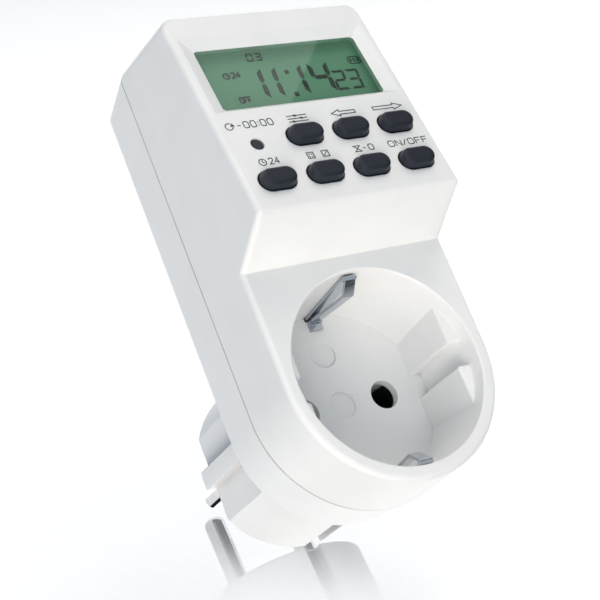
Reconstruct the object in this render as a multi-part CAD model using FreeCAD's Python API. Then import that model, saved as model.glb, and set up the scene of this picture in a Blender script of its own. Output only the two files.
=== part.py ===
import FreeCAD, Part
import math
import os
from FreeCAD import Rotation, Vector

# Digital timer switch that plugs straight into a wall socket and carries an earthed socket of its own.
# Millimetres. The origin is the centre of the plug's front face, midway between the two pins.
# +Y is the way the pins point, +Z is up towards the display, +X is to the right seen from the front.

# Plug
PIN_SPACING = 19.0
PIN_DIAMETER = 4.8
PIN_LENGTH = 19.0
PIN_TIP_RADIUS = 1.6
PIN_SEAT_DIAMETER = 5.4
PIN_HEAD_DIAMETER = 7.6
PIN_HEAD_THICKNESS = 1.6
PIN_TAIL_DIAMETER = 3.0
PIN_TAIL_STUB = 0.3
PLUG_RADIUS = 19.3
PLUG_LENGTH = 22.6
PLUG_FACE_WALL = 4.0
PLUG_SIDE_WALL = 1.8
PLUG_FLAT_INSET = 2.5
TONGUE_HEIGHT = 4.0
EARTH_NOTCH_WIDTH = 4.0
EARTH_NOTCH_DEPTH = 2.4
RETAINER_THICKNESS = 4.0
RETAINER_SCREW_Z = 8.5

# Socket
RECESS_DEPTH = 20.0
RECESS_DRAFT = 0.6
PLUG_CLEARANCE = 0.4
FLOOR_THICKNESS = 2.0
WELL_WALL = 1.0
RIM_WIDTH = 3.1
PIN_HOLE_DIAMETER = 6.1
GUIDE_CLEARANCE = 0.35
GUIDE_TOP_DEPTH = 3.5
GUIDE_EDGE_RADIUS = 0.5
GROOVE_CLEARANCE = 0.5
MARK_DIAMETER = 5.6
MARK_DEPTH = 0.5
MARK_HEIGHT = 11.2
MARK_SHIFT = 0.6

# Case
FRONT_DEPTH = 16.5
BACK_DEPTH = 14.5
BACK_TAPER = 1.5
SIDE_DRAFT = 0.8
TOP_DRAFT = 6.8
CORNER_RADIUS = 3.0
EDGE_RADIUS = 1.1
MOUTH_RADIUS = 0.4
WALL = 2.0
BACK_WALL = 1.8
SEAM_GAP = 0.4
SEAM_STEP = 0.05
LIP_THICKNESS = 1.0
LIP_HEIGHT = 2.0
LIP_CLEARANCE = 0.15
LEDGE_OVERLAP = 0.2
LABEL_MARGIN = 10.0
LABEL_TOP_MARGIN = 4.0
LABEL_DEPTH = 0.3

# Sloping control panel, measured up the panel from the ridge
PANEL_PROJECTION = 13.5
STEP_HEIGHT = 23.5
RIDGE_RISE = 5.7
PANEL_TILT = 9.3
FIRST_ROW = 6.65
KEY_ROW_PITCH = 9.35
KEY_TO_VIEW = 6.7
VIEW_HEIGHT = 15.2
VIEW_SIDE_MARGIN = 4.8
TOP_MARGIN = 8.3
BEZEL_DEPTH = 1.05
BEZEL_SLOPE = 2.7
BEZEL_LOWER_SLOPE = 1.1
VIEW_CORNER_RADIUS = 0.8

# Display
WINDOW_FLANGE = 1.4
WINDOW_FLANGE_THICKNESS = 1.1
WINDOW_CLEARANCE = 0.05
GLASS_BORDER_SIDE = 1.4
GLASS_BORDER_END = 2.5
GLASS_THICKNESS = 2.8
GLASS_GAP = 0.1
FRAME_WALL = 0.7
FRAME_CLEARANCE = 0.15
CONNECTOR_WIDTH = 2.0
CONNECTOR_HEIGHT = 2.0

# Keys
KEY_LENGTH = 7.7
KEY_HEIGHT = 4.4
KEY_PROUD = 1.8
KEY_TAPER = 0.4
KEY_EDGE_RADIUS = 0.6
KEY_CLEARANCE = 0.25
KEY_SIDE_GAP = 1.25
KEY_TRAVEL = 1.0
KEY_REST_GAP = 0.3
KEY_FLANGE = 0.8
KEY_FLANGE_THICKNESS = 1.2
KEY_FLANGE_SHORTER = 1.0
KEY_FOOT_LENGTH = 6.0
KEY_FOOT_HEIGHT = 3.2
KEY_STOP_GAP = 0.1
RESET_DIAMETER = 2.3
RESET_RECESS = 0.2
RESET_TRAVEL = 0.6
RESET_FLANGE_DIAMETER = 4.6
RESET_DROP = 0.6
MAT_THICKNESS = 1.0
MAT_CLEARANCE = 0.4
MAT_RIM_WALL = 0.9
MAT_RIM_HEIGHT = 0.8

# Circuit boards and what stands on them
BOARD_THICKNESS = 1.6
BOARD_MARGIN = 0.5
BOARD_LOWER_EDGE = 1.5
BOARD_UPPER_MARGIN = 2.2
SMALL_SCREW_DIAMETER = 2.0
SMALL_SCREW_HEAD_DIAMETER = 3.6
SMALL_SCREW_HEAD_HEIGHT = 1.3
SMALL_SCREW_LENGTH = 5.5
SMALL_POST_DIAMETER = 3.0
SCREW_CLEARANCE = 0.15
THREAD_CLEARANCE = 0.02
POWER_BOARD_STANDOFF = 3.9
POWER_BOARD_LOWER_EDGE = 29.0
POWER_BOARD_TOP_MARGIN = 2.2
POWER_SCREW_LOWER_INSET = 6.0
POWER_SCREW_UPPER_INSET = 11.1
POWER_SCREW_EDGE = 4.2
LEAD_DIAMETER = 0.7
LEAD_STUB = 1.2
SOLDER_CLEARANCE = 0.15

# Case screws
CASE_SCREW_DIAMETER = 2.6
CASE_SCREW_HEAD_DIAMETER = 5.0
CASE_SCREW_HEAD_HEIGHT = 2.0
CASE_SCREW_LENGTH = 13.0
CASE_SCREW_SEAT_DEPTH = 8.2
CASE_BOSS_DIAMETER = 5.6
CASE_TUBE_WALL = 1.1
HEAD_CLEARANCE = 0.4
CASE_SCREW_INSET = 5.6
LOWER_SCREW_HEIGHT = 24.0
FRONT_BOSS_LENGTH = 11.0

# Contacts
STRIP_THICKNESS = 0.8
STRIP_WIDTH = 4.0
STRIP_BEND = 0.9
STRIP_BOARD_GAP = 1.6
STRIP_SLOT_HEIGHT = 2.5
TERMINAL_GAP = 0.05
NARROW_STRIP_WIDTH = 3.2
NARROW_STRIP_GAP = 0.9
CONTACT_LEAF_THICKNESS = 0.8
CONTACT_WIDTH = 6.0
CONTACT_GRIP = 4.4
CONTACT_MOUTH = 7.0
CONTACT_BASE_GAP = 1.4
CONTACT_FRONT_GAP = 0.4
CONTACT_GRIP_DEPTH = 6.0
CARRIER_CLEARANCE = 0.3
CARRIER_WALL = 1.4
CARRIER_EAR_THICKNESS = 2.5
CARRIER_EAR_MARGIN = 1.0
CARRIER_DEPTH = 6.2
CARRIER_PEG_DIAMETER = 2.0
CARRIER_PEG_LENGTH = 4.0
EARTH_SPRING_WIDTH = 3.0
EARTH_TONGUE_WIDTH = 2.4
EARTH_SPRING_THICKNESS = 0.55
EARTH_SPRING_REACH = 2.9
EARTH_SPRING_FOLD_DEPTH = 0.7
EARTH_SPRING_NOSE_DEPTH = 4.4
EARTH_SPRING_BEND = 0.4
EARTH_FOOT_LENGTH = 2.9
EARTH_FOOT_RISE = 1.0
EARTH_TAIL_LENGTH = 3.6
EARTH_BAR_WIDTH = 3.8
EARTH_BAR_GAP = 0.15
EARTH_BAR_THICKNESS = 1.0
EARTH_CONTACT_WIDTH = 3.6
EARTH_CONTACT_THICKNESS = 0.6
RIVET_DIAMETER = 1.8

# Derived places
BACK_Y = -PLUG_LENGTH
PART_Y = BACK_Y - BACK_DEPTH
SOCKET_Y = PART_Y - FRONT_DEPTH
RIDGE_Y = SOCKET_Y - PANEL_PROJECTION
FLOOR_Y = SOCKET_Y + RECESS_DEPTH
FLOOR_BACK_Y = FLOOR_Y + FLOOR_THICKNESS
FLOOR_RADIUS = PLUG_RADIUS + PLUG_CLEARANCE
MOUTH_RECESS_RADIUS = FLOOR_RADIUS + RECESS_DRAFT
HALF_WIDTH = MOUTH_RECESS_RADIUS + RIM_WIDTH
SIDE_SLOPE = math.tan(math.radians(SIDE_DRAFT))
TOP_SLOPE = math.tan(math.radians(TOP_DRAFT))
TILT = math.radians(PANEL_TILT)
RIDGE_HEIGHT = STEP_HEIGHT + RIDGE_RISE
SECOND_ROW = FIRST_ROW + KEY_ROW_PITCH
VIEW_LOW = SECOND_ROW + KEY_HEIGHT / 2 + KEY_TO_VIEW
VIEW_HIGH = VIEW_LOW + VIEW_HEIGHT
PANEL_LENGTH = VIEW_HIGH + TOP_MARGIN
PANEL_TOP_Y = RIDGE_Y + PANEL_LENGTH * math.sin(TILT)
PANEL_TOP_Z = RIDGE_HEIGHT + PANEL_LENGTH * math.cos(TILT)
TOP_Z = PANEL_TOP_Z + TOP_SLOPE * (PART_Y - PANEL_TOP_Y)
PANEL_HALF_WIDTH = HALF_WIDTH - SIDE_SLOPE * (PART_Y - RIDGE_Y)
PANEL_INNER_HALF = PANEL_HALF_WIDTH - WALL
VIEW_HALF = HALF_WIDTH - VIEW_SIDE_MARGIN
KEY_COLUMN_PITCH = (PANEL_INNER_HALF - KEY_SIDE_GAP - KEY_LENGTH / 2) / 1.5
KEY_COLUMNS = [(i - 1.5) * KEY_COLUMN_PITCH for i in range(4)]
PANEL_PLACE = FreeCAD.Placement(Vector(0, RIDGE_Y, RIDGE_HEIGHT), Rotation(Vector(1, 0, 0), 90 - PANEL_TILT))

# Depths below the panel face, negative inwards
FLANGE_FRONT = -WALL
GLASS_FRONT = FLANGE_FRONT - WINDOW_FLANGE_THICKNESS - GLASS_GAP
GLASS_BACK = GLASS_FRONT - GLASS_THICKNESS
BOARD_FRONT = GLASS_BACK - CONNECTOR_HEIGHT
BOARD_BACK = BOARD_FRONT - BOARD_THICKNESS
MAT_FRONT = BOARD_FRONT + MAT_THICKNESS
RIM_FRONT = MAT_FRONT + MAT_RIM_HEIGHT
KEY_FLANGE_FRONT = FLANGE_FRONT - KEY_REST_GAP
KEY_FLANGE_BACK = KEY_FLANGE_FRONT - KEY_FLANGE_THICKNESS
KEY_FOOT_END = BOARD_FRONT + KEY_TRAVEL + KEY_STOP_GAP

# Power board plane
BACK_INNER_Y = BACK_Y - BACK_WALL
POWER_BOARD_BACK = BACK_INNER_Y - POWER_BOARD_STANDOFF
POWER_BOARD_FRONT = POWER_BOARD_BACK - BOARD_THICKNESS
POWER_BOARD_UPPER_EDGE = TOP_Z - BACK_TAPER - BACK_WALL - POWER_BOARD_TOP_MARGIN

# Places of the screws
CASE_SCREW_X = HALF_WIDTH - CASE_SCREW_INSET
UPPER_SCREW_Z = TOP_Z - CASE_SCREW_INSET - BACK_TAPER
CASE_SCREWS = [(sx * CASE_SCREW_X, z) for sx in (-1, 1) for z in (LOWER_SCREW_HEIGHT, UPPER_SCREW_Z)]
CASE_SCREW_SEAT_Y = BACK_Y - CASE_SCREW_SEAT_DEPTH
BOARD_SCREWS = [(sx * KEY_COLUMN_PITCH, FIRST_ROW + KEY_ROW_PITCH / 2) for sx in (-1, 1)]
BOARD_SCREWS += [(sx * VIEW_HALF * 0.8, PANEL_LENGTH - 3.0) for sx in (-1, 1)]

# Plug side places
PLUG_INNER_RADIUS = PLUG_RADIUS - PLUG_FLAT_INSET - PLUG_SIDE_WALL
PLUG_FLAT_X = PLUG_RADIUS - PLUG_FLAT_INSET
GUIDE_X = PLUG_FLAT_X + GUIDE_CLEARANCE
EARTH_CONTACT_Z = PLUG_RADIUS - EARTH_NOTCH_DEPTH
HEAD_BACK_Y = -PLUG_FACE_WALL - PIN_HEAD_THICKNESS
RETAINER_BACK_Y = -PLUG_FACE_WALL - RETAINER_THICKNESS
TERMINAL_Y = RETAINER_BACK_Y - TERMINAL_GAP - STRIP_THICKNESS / 2
CONTACT_BASE_Y = FLOOR_Y + PIN_LENGTH + CONTACT_BASE_GAP
PIN_X = PIN_SPACING / 2


def box(x0, x1, y0, y1, z0, z1):
    """Axis-aligned box between two corners."""
    return Part.makeBox(x1 - x0, y1 - y0, z1 - z0, Vector(x0, y0, z0))


def rod(radius, x, z, y0, y1):
    """Cylinder along Y from y0 to y1."""
    return Part.makeCylinder(radius, y1 - y0, Vector(x, y0, z), Vector(0, 1, 0))


def peg(radius, x, y, z0, z1):
    """Cylinder along Z from z0 to z1."""
    return Part.makeCylinder(radius, z1 - z0, Vector(x, y, z0), Vector(0, 0, 1))


def joined(shapes):
    """One shape from several that meet or overlap."""
    first, rest = shapes[0], shapes[1:]
    return first.fuse(rest).removeSplitter() if rest else first


def on_panel(shape):
    """Carry a shape drawn flat, with the panel face as its XY plane, to the sloping panel."""
    moved = shape.copy()
    moved.Placement = PANEL_PLACE.multiply(moved.Placement)
    return moved


def polygon_face(points):
    """Flat face through a closed ring of points."""
    return Part.Face(Part.makePolygon(points + [points[0]]))


def front_size(y, inset):
    """Half width and top height of the front half at depth y, drawn in by an inset."""
    ahead = PART_Y - y
    return HALF_WIDTH - SIDE_SLOPE * ahead - inset, TOP_Z - TOP_SLOPE * ahead - inset


def back_size(y, inset):
    """Half width and top height of the back half at depth y, drawn in by an inset."""
    inward = (y - PART_Y) / BACK_DEPTH * BACK_TAPER + inset
    return HALF_WIDTH - inward, TOP_Z - inward


def case_block(y0, size0, y1, size1, corner):
    """Tapered case form between two depths: half round about the socket axis, square above."""
    (half0, top0), (half1, top1) = size0, size1
    upper = Part.makeWedge(-half0, y0, 0, 0, -half1, half0, y1, top0, top1, half1)
    corners = [e for e in upper.Edges if e.BoundBox.ZMin > min(top0, top1) - 0.01 and e.BoundBox.XMin > 0]
    corners += [e for e in upper.Edges if e.BoundBox.ZMin > min(top0, top1) - 0.01 and e.BoundBox.XMax < 0]
    upper = upper.makeFillet(corner, corners)
    if half0 == half1:
        lower = rod(half0, 0, 0, y0, y1)
    else:
        lower = Part.makeCone(half0, half1, y1 - y0, Vector(0, y0, 0), Vector(0, 1, 0))
    return upper.fuse(lower).removeSplitter()


def front_block(y0, y1, inset):
    """Front half between two depths, drawn in by an inset."""
    corner = max(CORNER_RADIUS - inset, 0.5)
    return case_block(y0, front_size(y0, inset), y1, front_size(y1, inset), corner)


def back_form(y0, y1, inset):
    """Back half between two depths, drawn in by an inset."""
    corner = max(CORNER_RADIUS - inset, 0.5)
    return case_block(y0, back_size(y0, inset), y1, back_size(y1, inset), corner)


def offset_line(p, q, distance):
    """Move the line from p to q sideways, to its right, in the YZ plane."""
    dy, dz = q[0] - p[0], q[1] - p[1]
    length = math.hypot(dy, dz)
    ny, nz = dz / length, -dy / length
    return (p[0] + ny * distance, p[1] + nz * distance), (q[0] + ny * distance, q[1] + nz * distance)


def crossing(first, second):
    """Point where two lines of the YZ plane cross."""
    (ay, az), (by, bz) = first
    (cy, cz), (dy, dz) = second
    ry, rz = by - ay, bz - az
    sy, sz = dy - cy, dz - cz
    t = ((cy - ay) * sz - (cz - az) * sy) / (ry * sz - rz * sy)
    return ay + t * ry, az + t * rz


def side_profile(inset):
    """Side view of the front: socket face, step up to the ridge, sloping panel. Returned as a prism."""
    low = (SOCKET_Y, -2 * HALF_WIDTH)
    step = (SOCKET_Y, STEP_HEIGHT)
    ridge = (RIDGE_Y, RIDGE_HEIGHT)
    reach = 2 * PANEL_LENGTH
    far = (RIDGE_Y + reach * math.sin(TILT), RIDGE_HEIGHT + reach * math.cos(TILT))
    face = offset_line(low, step, inset)
    slope = offset_line(step, ridge, inset)
    panel = offset_line(ridge, far, inset)
    corners = [face[0], crossing(face, slope), crossing(slope, panel), panel[1]]
    corners += [(PART_Y + 2, panel[1][1]), (PART_Y + 2, low[1])]
    half = 2 * HALF_WIDTH
    face = polygon_face([Vector(-half, y, z) for y, z in corners])
    return face.extrude(Vector(2 * half, 0, 0))


def front_form(inset, end=PART_Y):
    """Front half as a closed form, drawn in by an inset."""
    return front_block(RIDGE_Y - 1, end, inset).common(side_profile(inset))


def height_on_panel(point):
    """Distance of a point in front of the panel plane."""
    local = PANEL_PLACE.inverse().multVec(point)
    return local.z


def is_front_edge(edge):
    """True for the outer edges round the panel and the step, and for the ridge."""
    mid = edge.valueAt((edge.FirstParameter + edge.LastParameter) / 2)
    if abs(mid.x) < 0.01 and abs(mid.z - RIDGE_HEIGHT) < 0.01:
        return True
    on_side = abs(mid.x) > HALF_WIDTH - WALL - CORNER_RADIUS
    on_top = mid.z > TOP_Z - 2 * CORNER_RADIUS
    on_panel_plane = abs(height_on_panel(mid)) < 0.01
    between = RIDGE_Y + 0.01 < mid.y < SOCKET_Y - 0.01
    on_step = on_side and between and mid.z < RIDGE_HEIGHT
    return (on_panel_plane and (on_side or on_top)) or on_step


def is_socket_edge(edge):
    """True for the outer edge round the flat socket face."""
    mid = edge.valueAt((edge.FirstParameter + edge.LastParameter) / 2)
    return abs(mid.y - SOCKET_Y) < 0.01 and mid.z < STEP_HEIGHT - 1


def rounded_front():
    """Outer form of the front half with its edges rounded."""
    form = front_form(0)
    return form.makeFillet(EDGE_RADIUS, [e for e in form.Edges if is_front_edge(e) or is_socket_edge(e)])


def slot_shape(length, height, z0, z1):
    """Flat-sided oval with round ends, drawn at the origin of the panel, from z0 to z1."""
    radius = height / 2
    half = length / 2 - radius
    start, end = Vector(-half, -radius, z0), Vector(half, -radius, z0)
    far_end, far_start = Vector(half, radius, z0), Vector(-half, radius, z0)
    edges = [
        Part.makeLine(start, end),
        Part.Arc(end, Vector(half + radius, 0, z0), far_end).toShape(),
        Part.makeLine(far_end, far_start),
        Part.Arc(far_start, Vector(-half - radius, 0, z0), start).toShape(),
    ]
    return Part.Face(Part.Wire(edges)).extrude(Vector(0, 0, z1 - z0))


def plate(half_width, low, high, z0, z1, corner):
    """Flat plate on the panel with rounded corners, from z0 to z1."""
    solid = box(-half_width, half_width, low, high, z0, z1)
    upright = [e for e in solid.Edges if abs(e.tangentAt(e.FirstParameter).z) > 0.99]
    return solid.makeFillet(corner, upright)


def rectangle(half_width, low, high, z):
    """Rectangle as a wire on a plane parallel to the panel."""
    points = [Vector(-half_width, low, z), Vector(half_width, low, z)]
    points += [Vector(half_width, high, z), Vector(-half_width, high, z)]
    return Part.makePolygon(points + [points[0]])


def strip_face(points, thickness, bend, place):
    """Side view of a bent metal strip: a centre line with round bends, thickened, mapped by place."""
    count = len(points)
    left, right = [], []
    half = thickness / 2

    def shifted(p, direction, amount):
        return place(p[0] - direction[1] * amount, p[1] + direction[0] * amount)

    def unit(a, b):
        length = math.hypot(b[0] - a[0], b[1] - a[1])
        return (b[0] - a[0]) / length, (b[1] - a[1]) / length

    first = unit(points[0], points[1])
    last_left = shifted(points[0], first, half)
    last_right = shifted(points[0], first, -half)
    start_pair = (last_left, last_right)
    for i in range(1, count - 1):
        before, after = unit(points[i - 1], points[i]), unit(points[i], points[i + 1])
        turn = before[0] * after[1] - before[1] * after[0]
        dot = before[0] * after[0] + before[1] * after[1]
        angle = math.atan2(abs(turn), dot)
        side = 1 if turn > 0 else -1
        reach = bend * math.tan(angle / 2)
        entry = (points[i][0] - before[0] * reach, points[i][1] - before[1] * reach)
        leave = (points[i][0] + after[0] * reach, points[i][1] + after[1] * reach)
        centre = (entry[0] - before[1] * side * bend, entry[1] + before[0] * side * bend)
        towards = unit(centre, points[i])
        for chain, sign in ((left, 1), (right, -1)):
            radius = bend - sign * side * half
            start = shifted(entry, before, sign * half)
            middle = place(centre[0] + towards[0] * radius, centre[1] + towards[1] * radius)
            end = shifted(leave, after, sign * half)
            previous = last_left if sign > 0 else last_right
            chain.append(Part.makeLine(previous, start))
            chain.append(Part.Arc(start, middle, end).toShape())
            if sign > 0:
                last_left = end
            else:
                last_right = end
    final = unit(points[-2], points[-1])
    end_left, end_right = shifted(points[-1], final, half), shifted(points[-1], final, -half)
    left.append(Part.makeLine(last_left, end_left))
    right.append(Part.makeLine(last_right, end_right))
    caps = [Part.makeLine(start_pair[0], start_pair[1]), Part.makeLine(end_left, end_right)]
    return Part.Face(Part.Wire(Part.__sortEdges__(left + right + caps)))


def strip_along_x(points, thickness, bend, x, width):
    """Strip bent in the YZ plane, of a given width, centred on x."""
    face = strip_face(points, thickness, bend, lambda a, b: Vector(x - width / 2, a, b))
    return face.extrude(Vector(width, 0, 0))


def strip_along_z(points, thickness, bend, z, height):
    """Strip bent in the XY plane, of a given height, centred on z."""
    face = strip_face(points, thickness, bend, lambda a, b: Vector(a, b, z - height / 2))
    return face.extrude(Vector(0, 0, height))


def screw(x, z, seat_y, direction, shank_diameter, length, head_diameter, head_height):
    """Cross-head screw with its head seated at seat_y and its shank running along direction in Y."""
    axis = Vector(0, direction, 0)
    shank = Part.makeCylinder(shank_diameter / 2, length, Vector(x, seat_y, z), axis)
    head = Part.makeCylinder(head_diameter / 2, head_height, Vector(x, seat_y, z), axis * -1)
    rim = [e for e in head.Edges if abs(e.BoundBox.YMin - seat_y + direction * head_height) < 0.01]
    rim = [e for e in rim if e.BoundBox.YLength < 0.01]
    head = head.makeFillet(head_height * 0.35, rim)
    top_y = seat_y - direction * head_height
    slot, half = head_diameter * 0.11, head_diameter * 0.3
    depth = head_height * 0.5
    y0, y1 = sorted((top_y, top_y + direction * depth))
    cross = box(x - half, x + half, y0, y1, z - slot, z + slot)
    cross = cross.fuse(box(x - slot, x + slot, y0, y1, z - half, z + half))
    return head.cut(cross).fuse(shank).removeSplitter()


def recess_cone(y0, y1, extra):
    """Tapered round form of the socket recess between two depths, enlarged by extra."""
    slope = RECESS_DRAFT / RECESS_DEPTH
    r0 = MOUTH_RECESS_RADIUS - slope * (y0 - SOCKET_Y) + extra
    r1 = MOUTH_RECESS_RADIUS - slope * (y1 - SOCKET_Y) + extra
    return Part.makeCone(r0, r1, y1 - y0, Vector(0, y0, 0), Vector(0, 1, 0))


def guide_blocks():
    """Flat guide blocks left and right in the recess, each pair with a groove for the plug's tongue."""
    low = SOCKET_Y + GUIDE_TOP_DEPTH
    cone = recess_cone(low, FLOOR_Y, 0.3)
    reach = HALF_WIDTH
    groove = TONGUE_HEIGHT / 2 + GROOVE_CLEARANCE
    blocks = []
    for side in (-1, 1):
        x0, x1 = sorted((side * GUIDE_X, side * reach))
        for level in (-1, 1):
            z0, z1 = sorted((level * groove, level * reach))
            corner = Vector(side * GUIDE_X, low, level * groove)
            block = box(x0, x1, low, FLOOR_Y, z0, z1)
            edges = [e for e in block.Edges if any(v.Point.isEqual(corner, 0.01) for v in e.Vertexes)]
            blocks.append(cone.common(block.makeFillet(GUIDE_EDGE_RADIUS, edges)))
    return blocks


def bezel_cut():
    """Sloped sides round the display, then the straight opening through the wall."""
    high, low = VIEW_HIGH, VIEW_LOW
    outer = rectangle(VIEW_HALF + BEZEL_SLOPE, low - BEZEL_LOWER_SLOPE, high + BEZEL_SLOPE, 0)
    inner = rectangle(VIEW_HALF, low, high, -BEZEL_DEPTH)
    slope = Part.makeLoft([outer, inner], True, True)
    opening = plate(VIEW_HALF, low, high, -WALL - 1, -BEZEL_DEPTH + 0.01, VIEW_CORNER_RADIUS)
    return slope.fuse(opening)


def key_places():
    """Centres of the seven keys on the panel, three above and four below."""
    upper = [(x, SECOND_ROW) for x in KEY_COLUMNS[1:]]
    lower = [(x, FIRST_ROW) for x in KEY_COLUMNS]
    return upper + lower


KEY_NAMES = [
    "key_upper_left",
    "key_upper_middle",
    "key_upper_right",
    "key_lower_outer_left",
    "key_lower_inner_left",
    "key_lower_inner_right",
    "key_lower_outer_right",
]
RESET_PLACE = (KEY_COLUMNS[0] - 0.2, SECOND_ROW - RESET_DROP)


def panel_cuts():
    """Everything that is cut through the panel wall."""
    cuts = [bezel_cut()]
    for x, y in key_places():
        hole = slot_shape(KEY_LENGTH + 2 * KEY_CLEARANCE, KEY_HEIGHT + 2 * KEY_CLEARANCE, -WALL - 1, 1)
        cuts.append(hole.translated(Vector(x, y, 0)))
    cuts.append(peg(RESET_DIAMETER / 2 + KEY_CLEARANCE, RESET_PLACE[0], RESET_PLACE[1], -WALL - 1, 1))
    return [on_panel(cut) for cut in cuts]


def panel_posts():
    """Posts behind the panel that carry the control board, each with a thread hole."""
    posts, holes = [], []
    for x, y in BOARD_SCREWS:
        posts.append(on_panel(peg(SMALL_POST_DIAMETER / 2, x, y, BOARD_FRONT, -WALL + 0.5)))
        end = BOARD_BACK - 0.01
        radius = SMALL_SCREW_DIAMETER / 2 + THREAD_CLEARANCE
        holes.append(on_panel(peg(radius, x, y, end, end + SMALL_SCREW_LENGTH + 0.3)))
    return posts, holes


def front_bosses():
    """Bosses in the four corners of the front half that take the case screws."""
    bosses, holes = [], []
    radius = CASE_BOSS_DIAMETER / 2
    for x, z in CASE_SCREWS:
        side = 1 if x > 0 else -1
        start = PART_Y - FRONT_BOSS_LENGTH
        bosses.append(rod(radius, x, z, start, PART_Y))
        x0, x1 = sorted((x, side * HALF_WIDTH * 1.1))
        bosses.append(box(x0, x1, start, PART_Y - LIP_HEIGHT - 0.5, z - radius / 2, z + radius / 2))
        tip = CASE_SCREW_SEAT_Y - CASE_SCREW_LENGTH
        holes.append(rod(CASE_SCREW_DIAMETER / 2 + THREAD_CLEARANCE, x, z, tip - 0.5, PART_Y + 1))
    return bosses, holes


def spring_slot(side):
    """Slot through the socket floor for one earth spring."""
    half = EARTH_SPRING_WIDTH / 2 + 0.2
    outer = spring_wall_height(FLOOR_Y) + EARTH_SPRING_THICKNESS / 2 + 0.2
    inner = outer - EARTH_SPRING_THICKNESS - 0.4
    z0, z1 = sorted((side * inner, side * outer))
    return box(-half, half, FLOOR_Y - 0.5, FLOOR_BACK_Y + 0.5, z0, z1)


def spring_wall_height(y):
    """Height of the earth spring's outer leg above the axis at depth y, just inside the recess wall."""
    slope = RECESS_DRAFT / RECESS_DEPTH
    radius = MOUTH_RECESS_RADIUS - slope * (y - SOCKET_Y)
    chord = math.sqrt(radius ** 2 - (EARTH_SPRING_WIDTH / 2) ** 2)
    return chord - 0.15 - EARTH_SPRING_THICKNESS / 2


def front_cover():
    """Front half of the case with the socket recess, the display opening and the key holes."""
    outer = rounded_front()
    keep_out = rod(MOUTH_RECESS_RADIUS + WELL_WALL + 0.8, 0, 0, SOCKET_Y - 1, PART_Y + 1)
    cavity = front_form(WALL, PART_Y + 1)
    cavity = cavity.cut(keep_out)
    posts, post_holes = panel_posts()
    bosses, boss_holes = front_bosses()
    spigot = rod(FLOOR_RADIUS + WELL_WALL, 0, 0, PART_Y - 1, FLOOR_BACK_Y)
    inside = [shape.common(front_form(WALL / 2)) for shape in bosses + posts]
    cover = joined([outer.cut(cavity), spigot] + inside)
    recess = recess_cone(SOCKET_Y - 0.01, FLOOR_Y, 0)
    cover = cover.cut(recess)
    mouth = [e for e in cover.Edges if is_mouth_edge(e)]
    cover = cover.makeFillet(MOUTH_RADIUS, mouth)
    cover = cover.fuse(guide_blocks() + carrier_pegs()).removeSplitter()
    holes = [rod(PIN_HOLE_DIAMETER / 2, sx * PIN_X, 0, FLOOR_Y - 1, FLOOR_BACK_Y + 1) for sx in (-1, 1)]
    marks = [rod(MARK_DIAMETER / 2, -MARK_SHIFT, z, FLOOR_Y - 1, FLOOR_Y + MARK_DEPTH)
             for z in (0, MARK_HEIGHT)]
    slots = [spring_slot(side) for side in (-1, 1)]
    return cover.cut(panel_cuts() + post_holes + boss_holes + holes + marks + slots)


def is_mouth_edge(edge):
    """True for the circle where the recess meets the socket face."""
    box_ = edge.BoundBox
    flat = abs(box_.YMin - SOCKET_Y) < 0.05 and box_.YLength < 0.05
    return flat and abs(box_.XMax - MOUTH_RECESS_RADIUS) < 0.1


def carrier_pegs():
    """Two pegs behind the socket floor that the contact carrier sits on."""
    radius = CARRIER_PEG_DIAMETER / 2
    return [rod(radius, sx * carrier_peg_x(), 0, FLOOR_BACK_Y - 0.5, FLOOR_BACK_Y + CARRIER_PEG_LENGTH)
            for sx in (-1, 1)]


def carrier_half_length():
    """Half length of the pocketed part of the contact carrier."""
    return PIN_X + CONTACT_MOUTH / 2 + CONTACT_LEAF_THICKNESS + CARRIER_CLEARANCE + CARRIER_WALL


def carrier_half_height():
    """Half height of the contact carrier."""
    return CONTACT_WIDTH / 2 + CARRIER_CLEARANCE + CARRIER_WALL


def carrier_peg_x():
    """Distance of a carrier peg from the middle."""
    return carrier_half_length() + CARRIER_PEG_DIAMETER / 2 + 0.2


def seam_lip():
    """Upstanding lip of the back cover that enters the front cover, open round the socket well."""
    outer_inset = WALL + LIP_CLEARANCE
    inner_inset = outer_inset + LIP_THICKNESS
    top_y = PART_Y - LIP_HEIGHT
    foot_y = PART_Y + LIP_HEIGHT
    outer, inner = front_size(top_y, outer_inset), front_size(top_y, inner_inset)
    corner = CORNER_RADIUS - LIP_THICKNESS
    ring = case_block(top_y, outer, foot_y, outer, corner)
    core = case_block(top_y - 1, inner, foot_y + 1, inner, corner)
    ledge = back_form(PART_Y + SEAM_GAP, foot_y, BACK_WALL - LEDGE_OVERLAP)
    lip = joined([ring, ledge]).cut(core)
    half = 2 * HALF_WIDTH
    lip = lip.common(box(-half, half, top_y - 1, foot_y + 1, HALF_WIDTH / 2, 2 * TOP_Z))
    notch = CASE_BOSS_DIAMETER / 2 + LIP_CLEARANCE
    return lip.cut([rod(notch, x, z, top_y - 1, PART_Y) for x, z in CASE_SCREWS])


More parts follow.
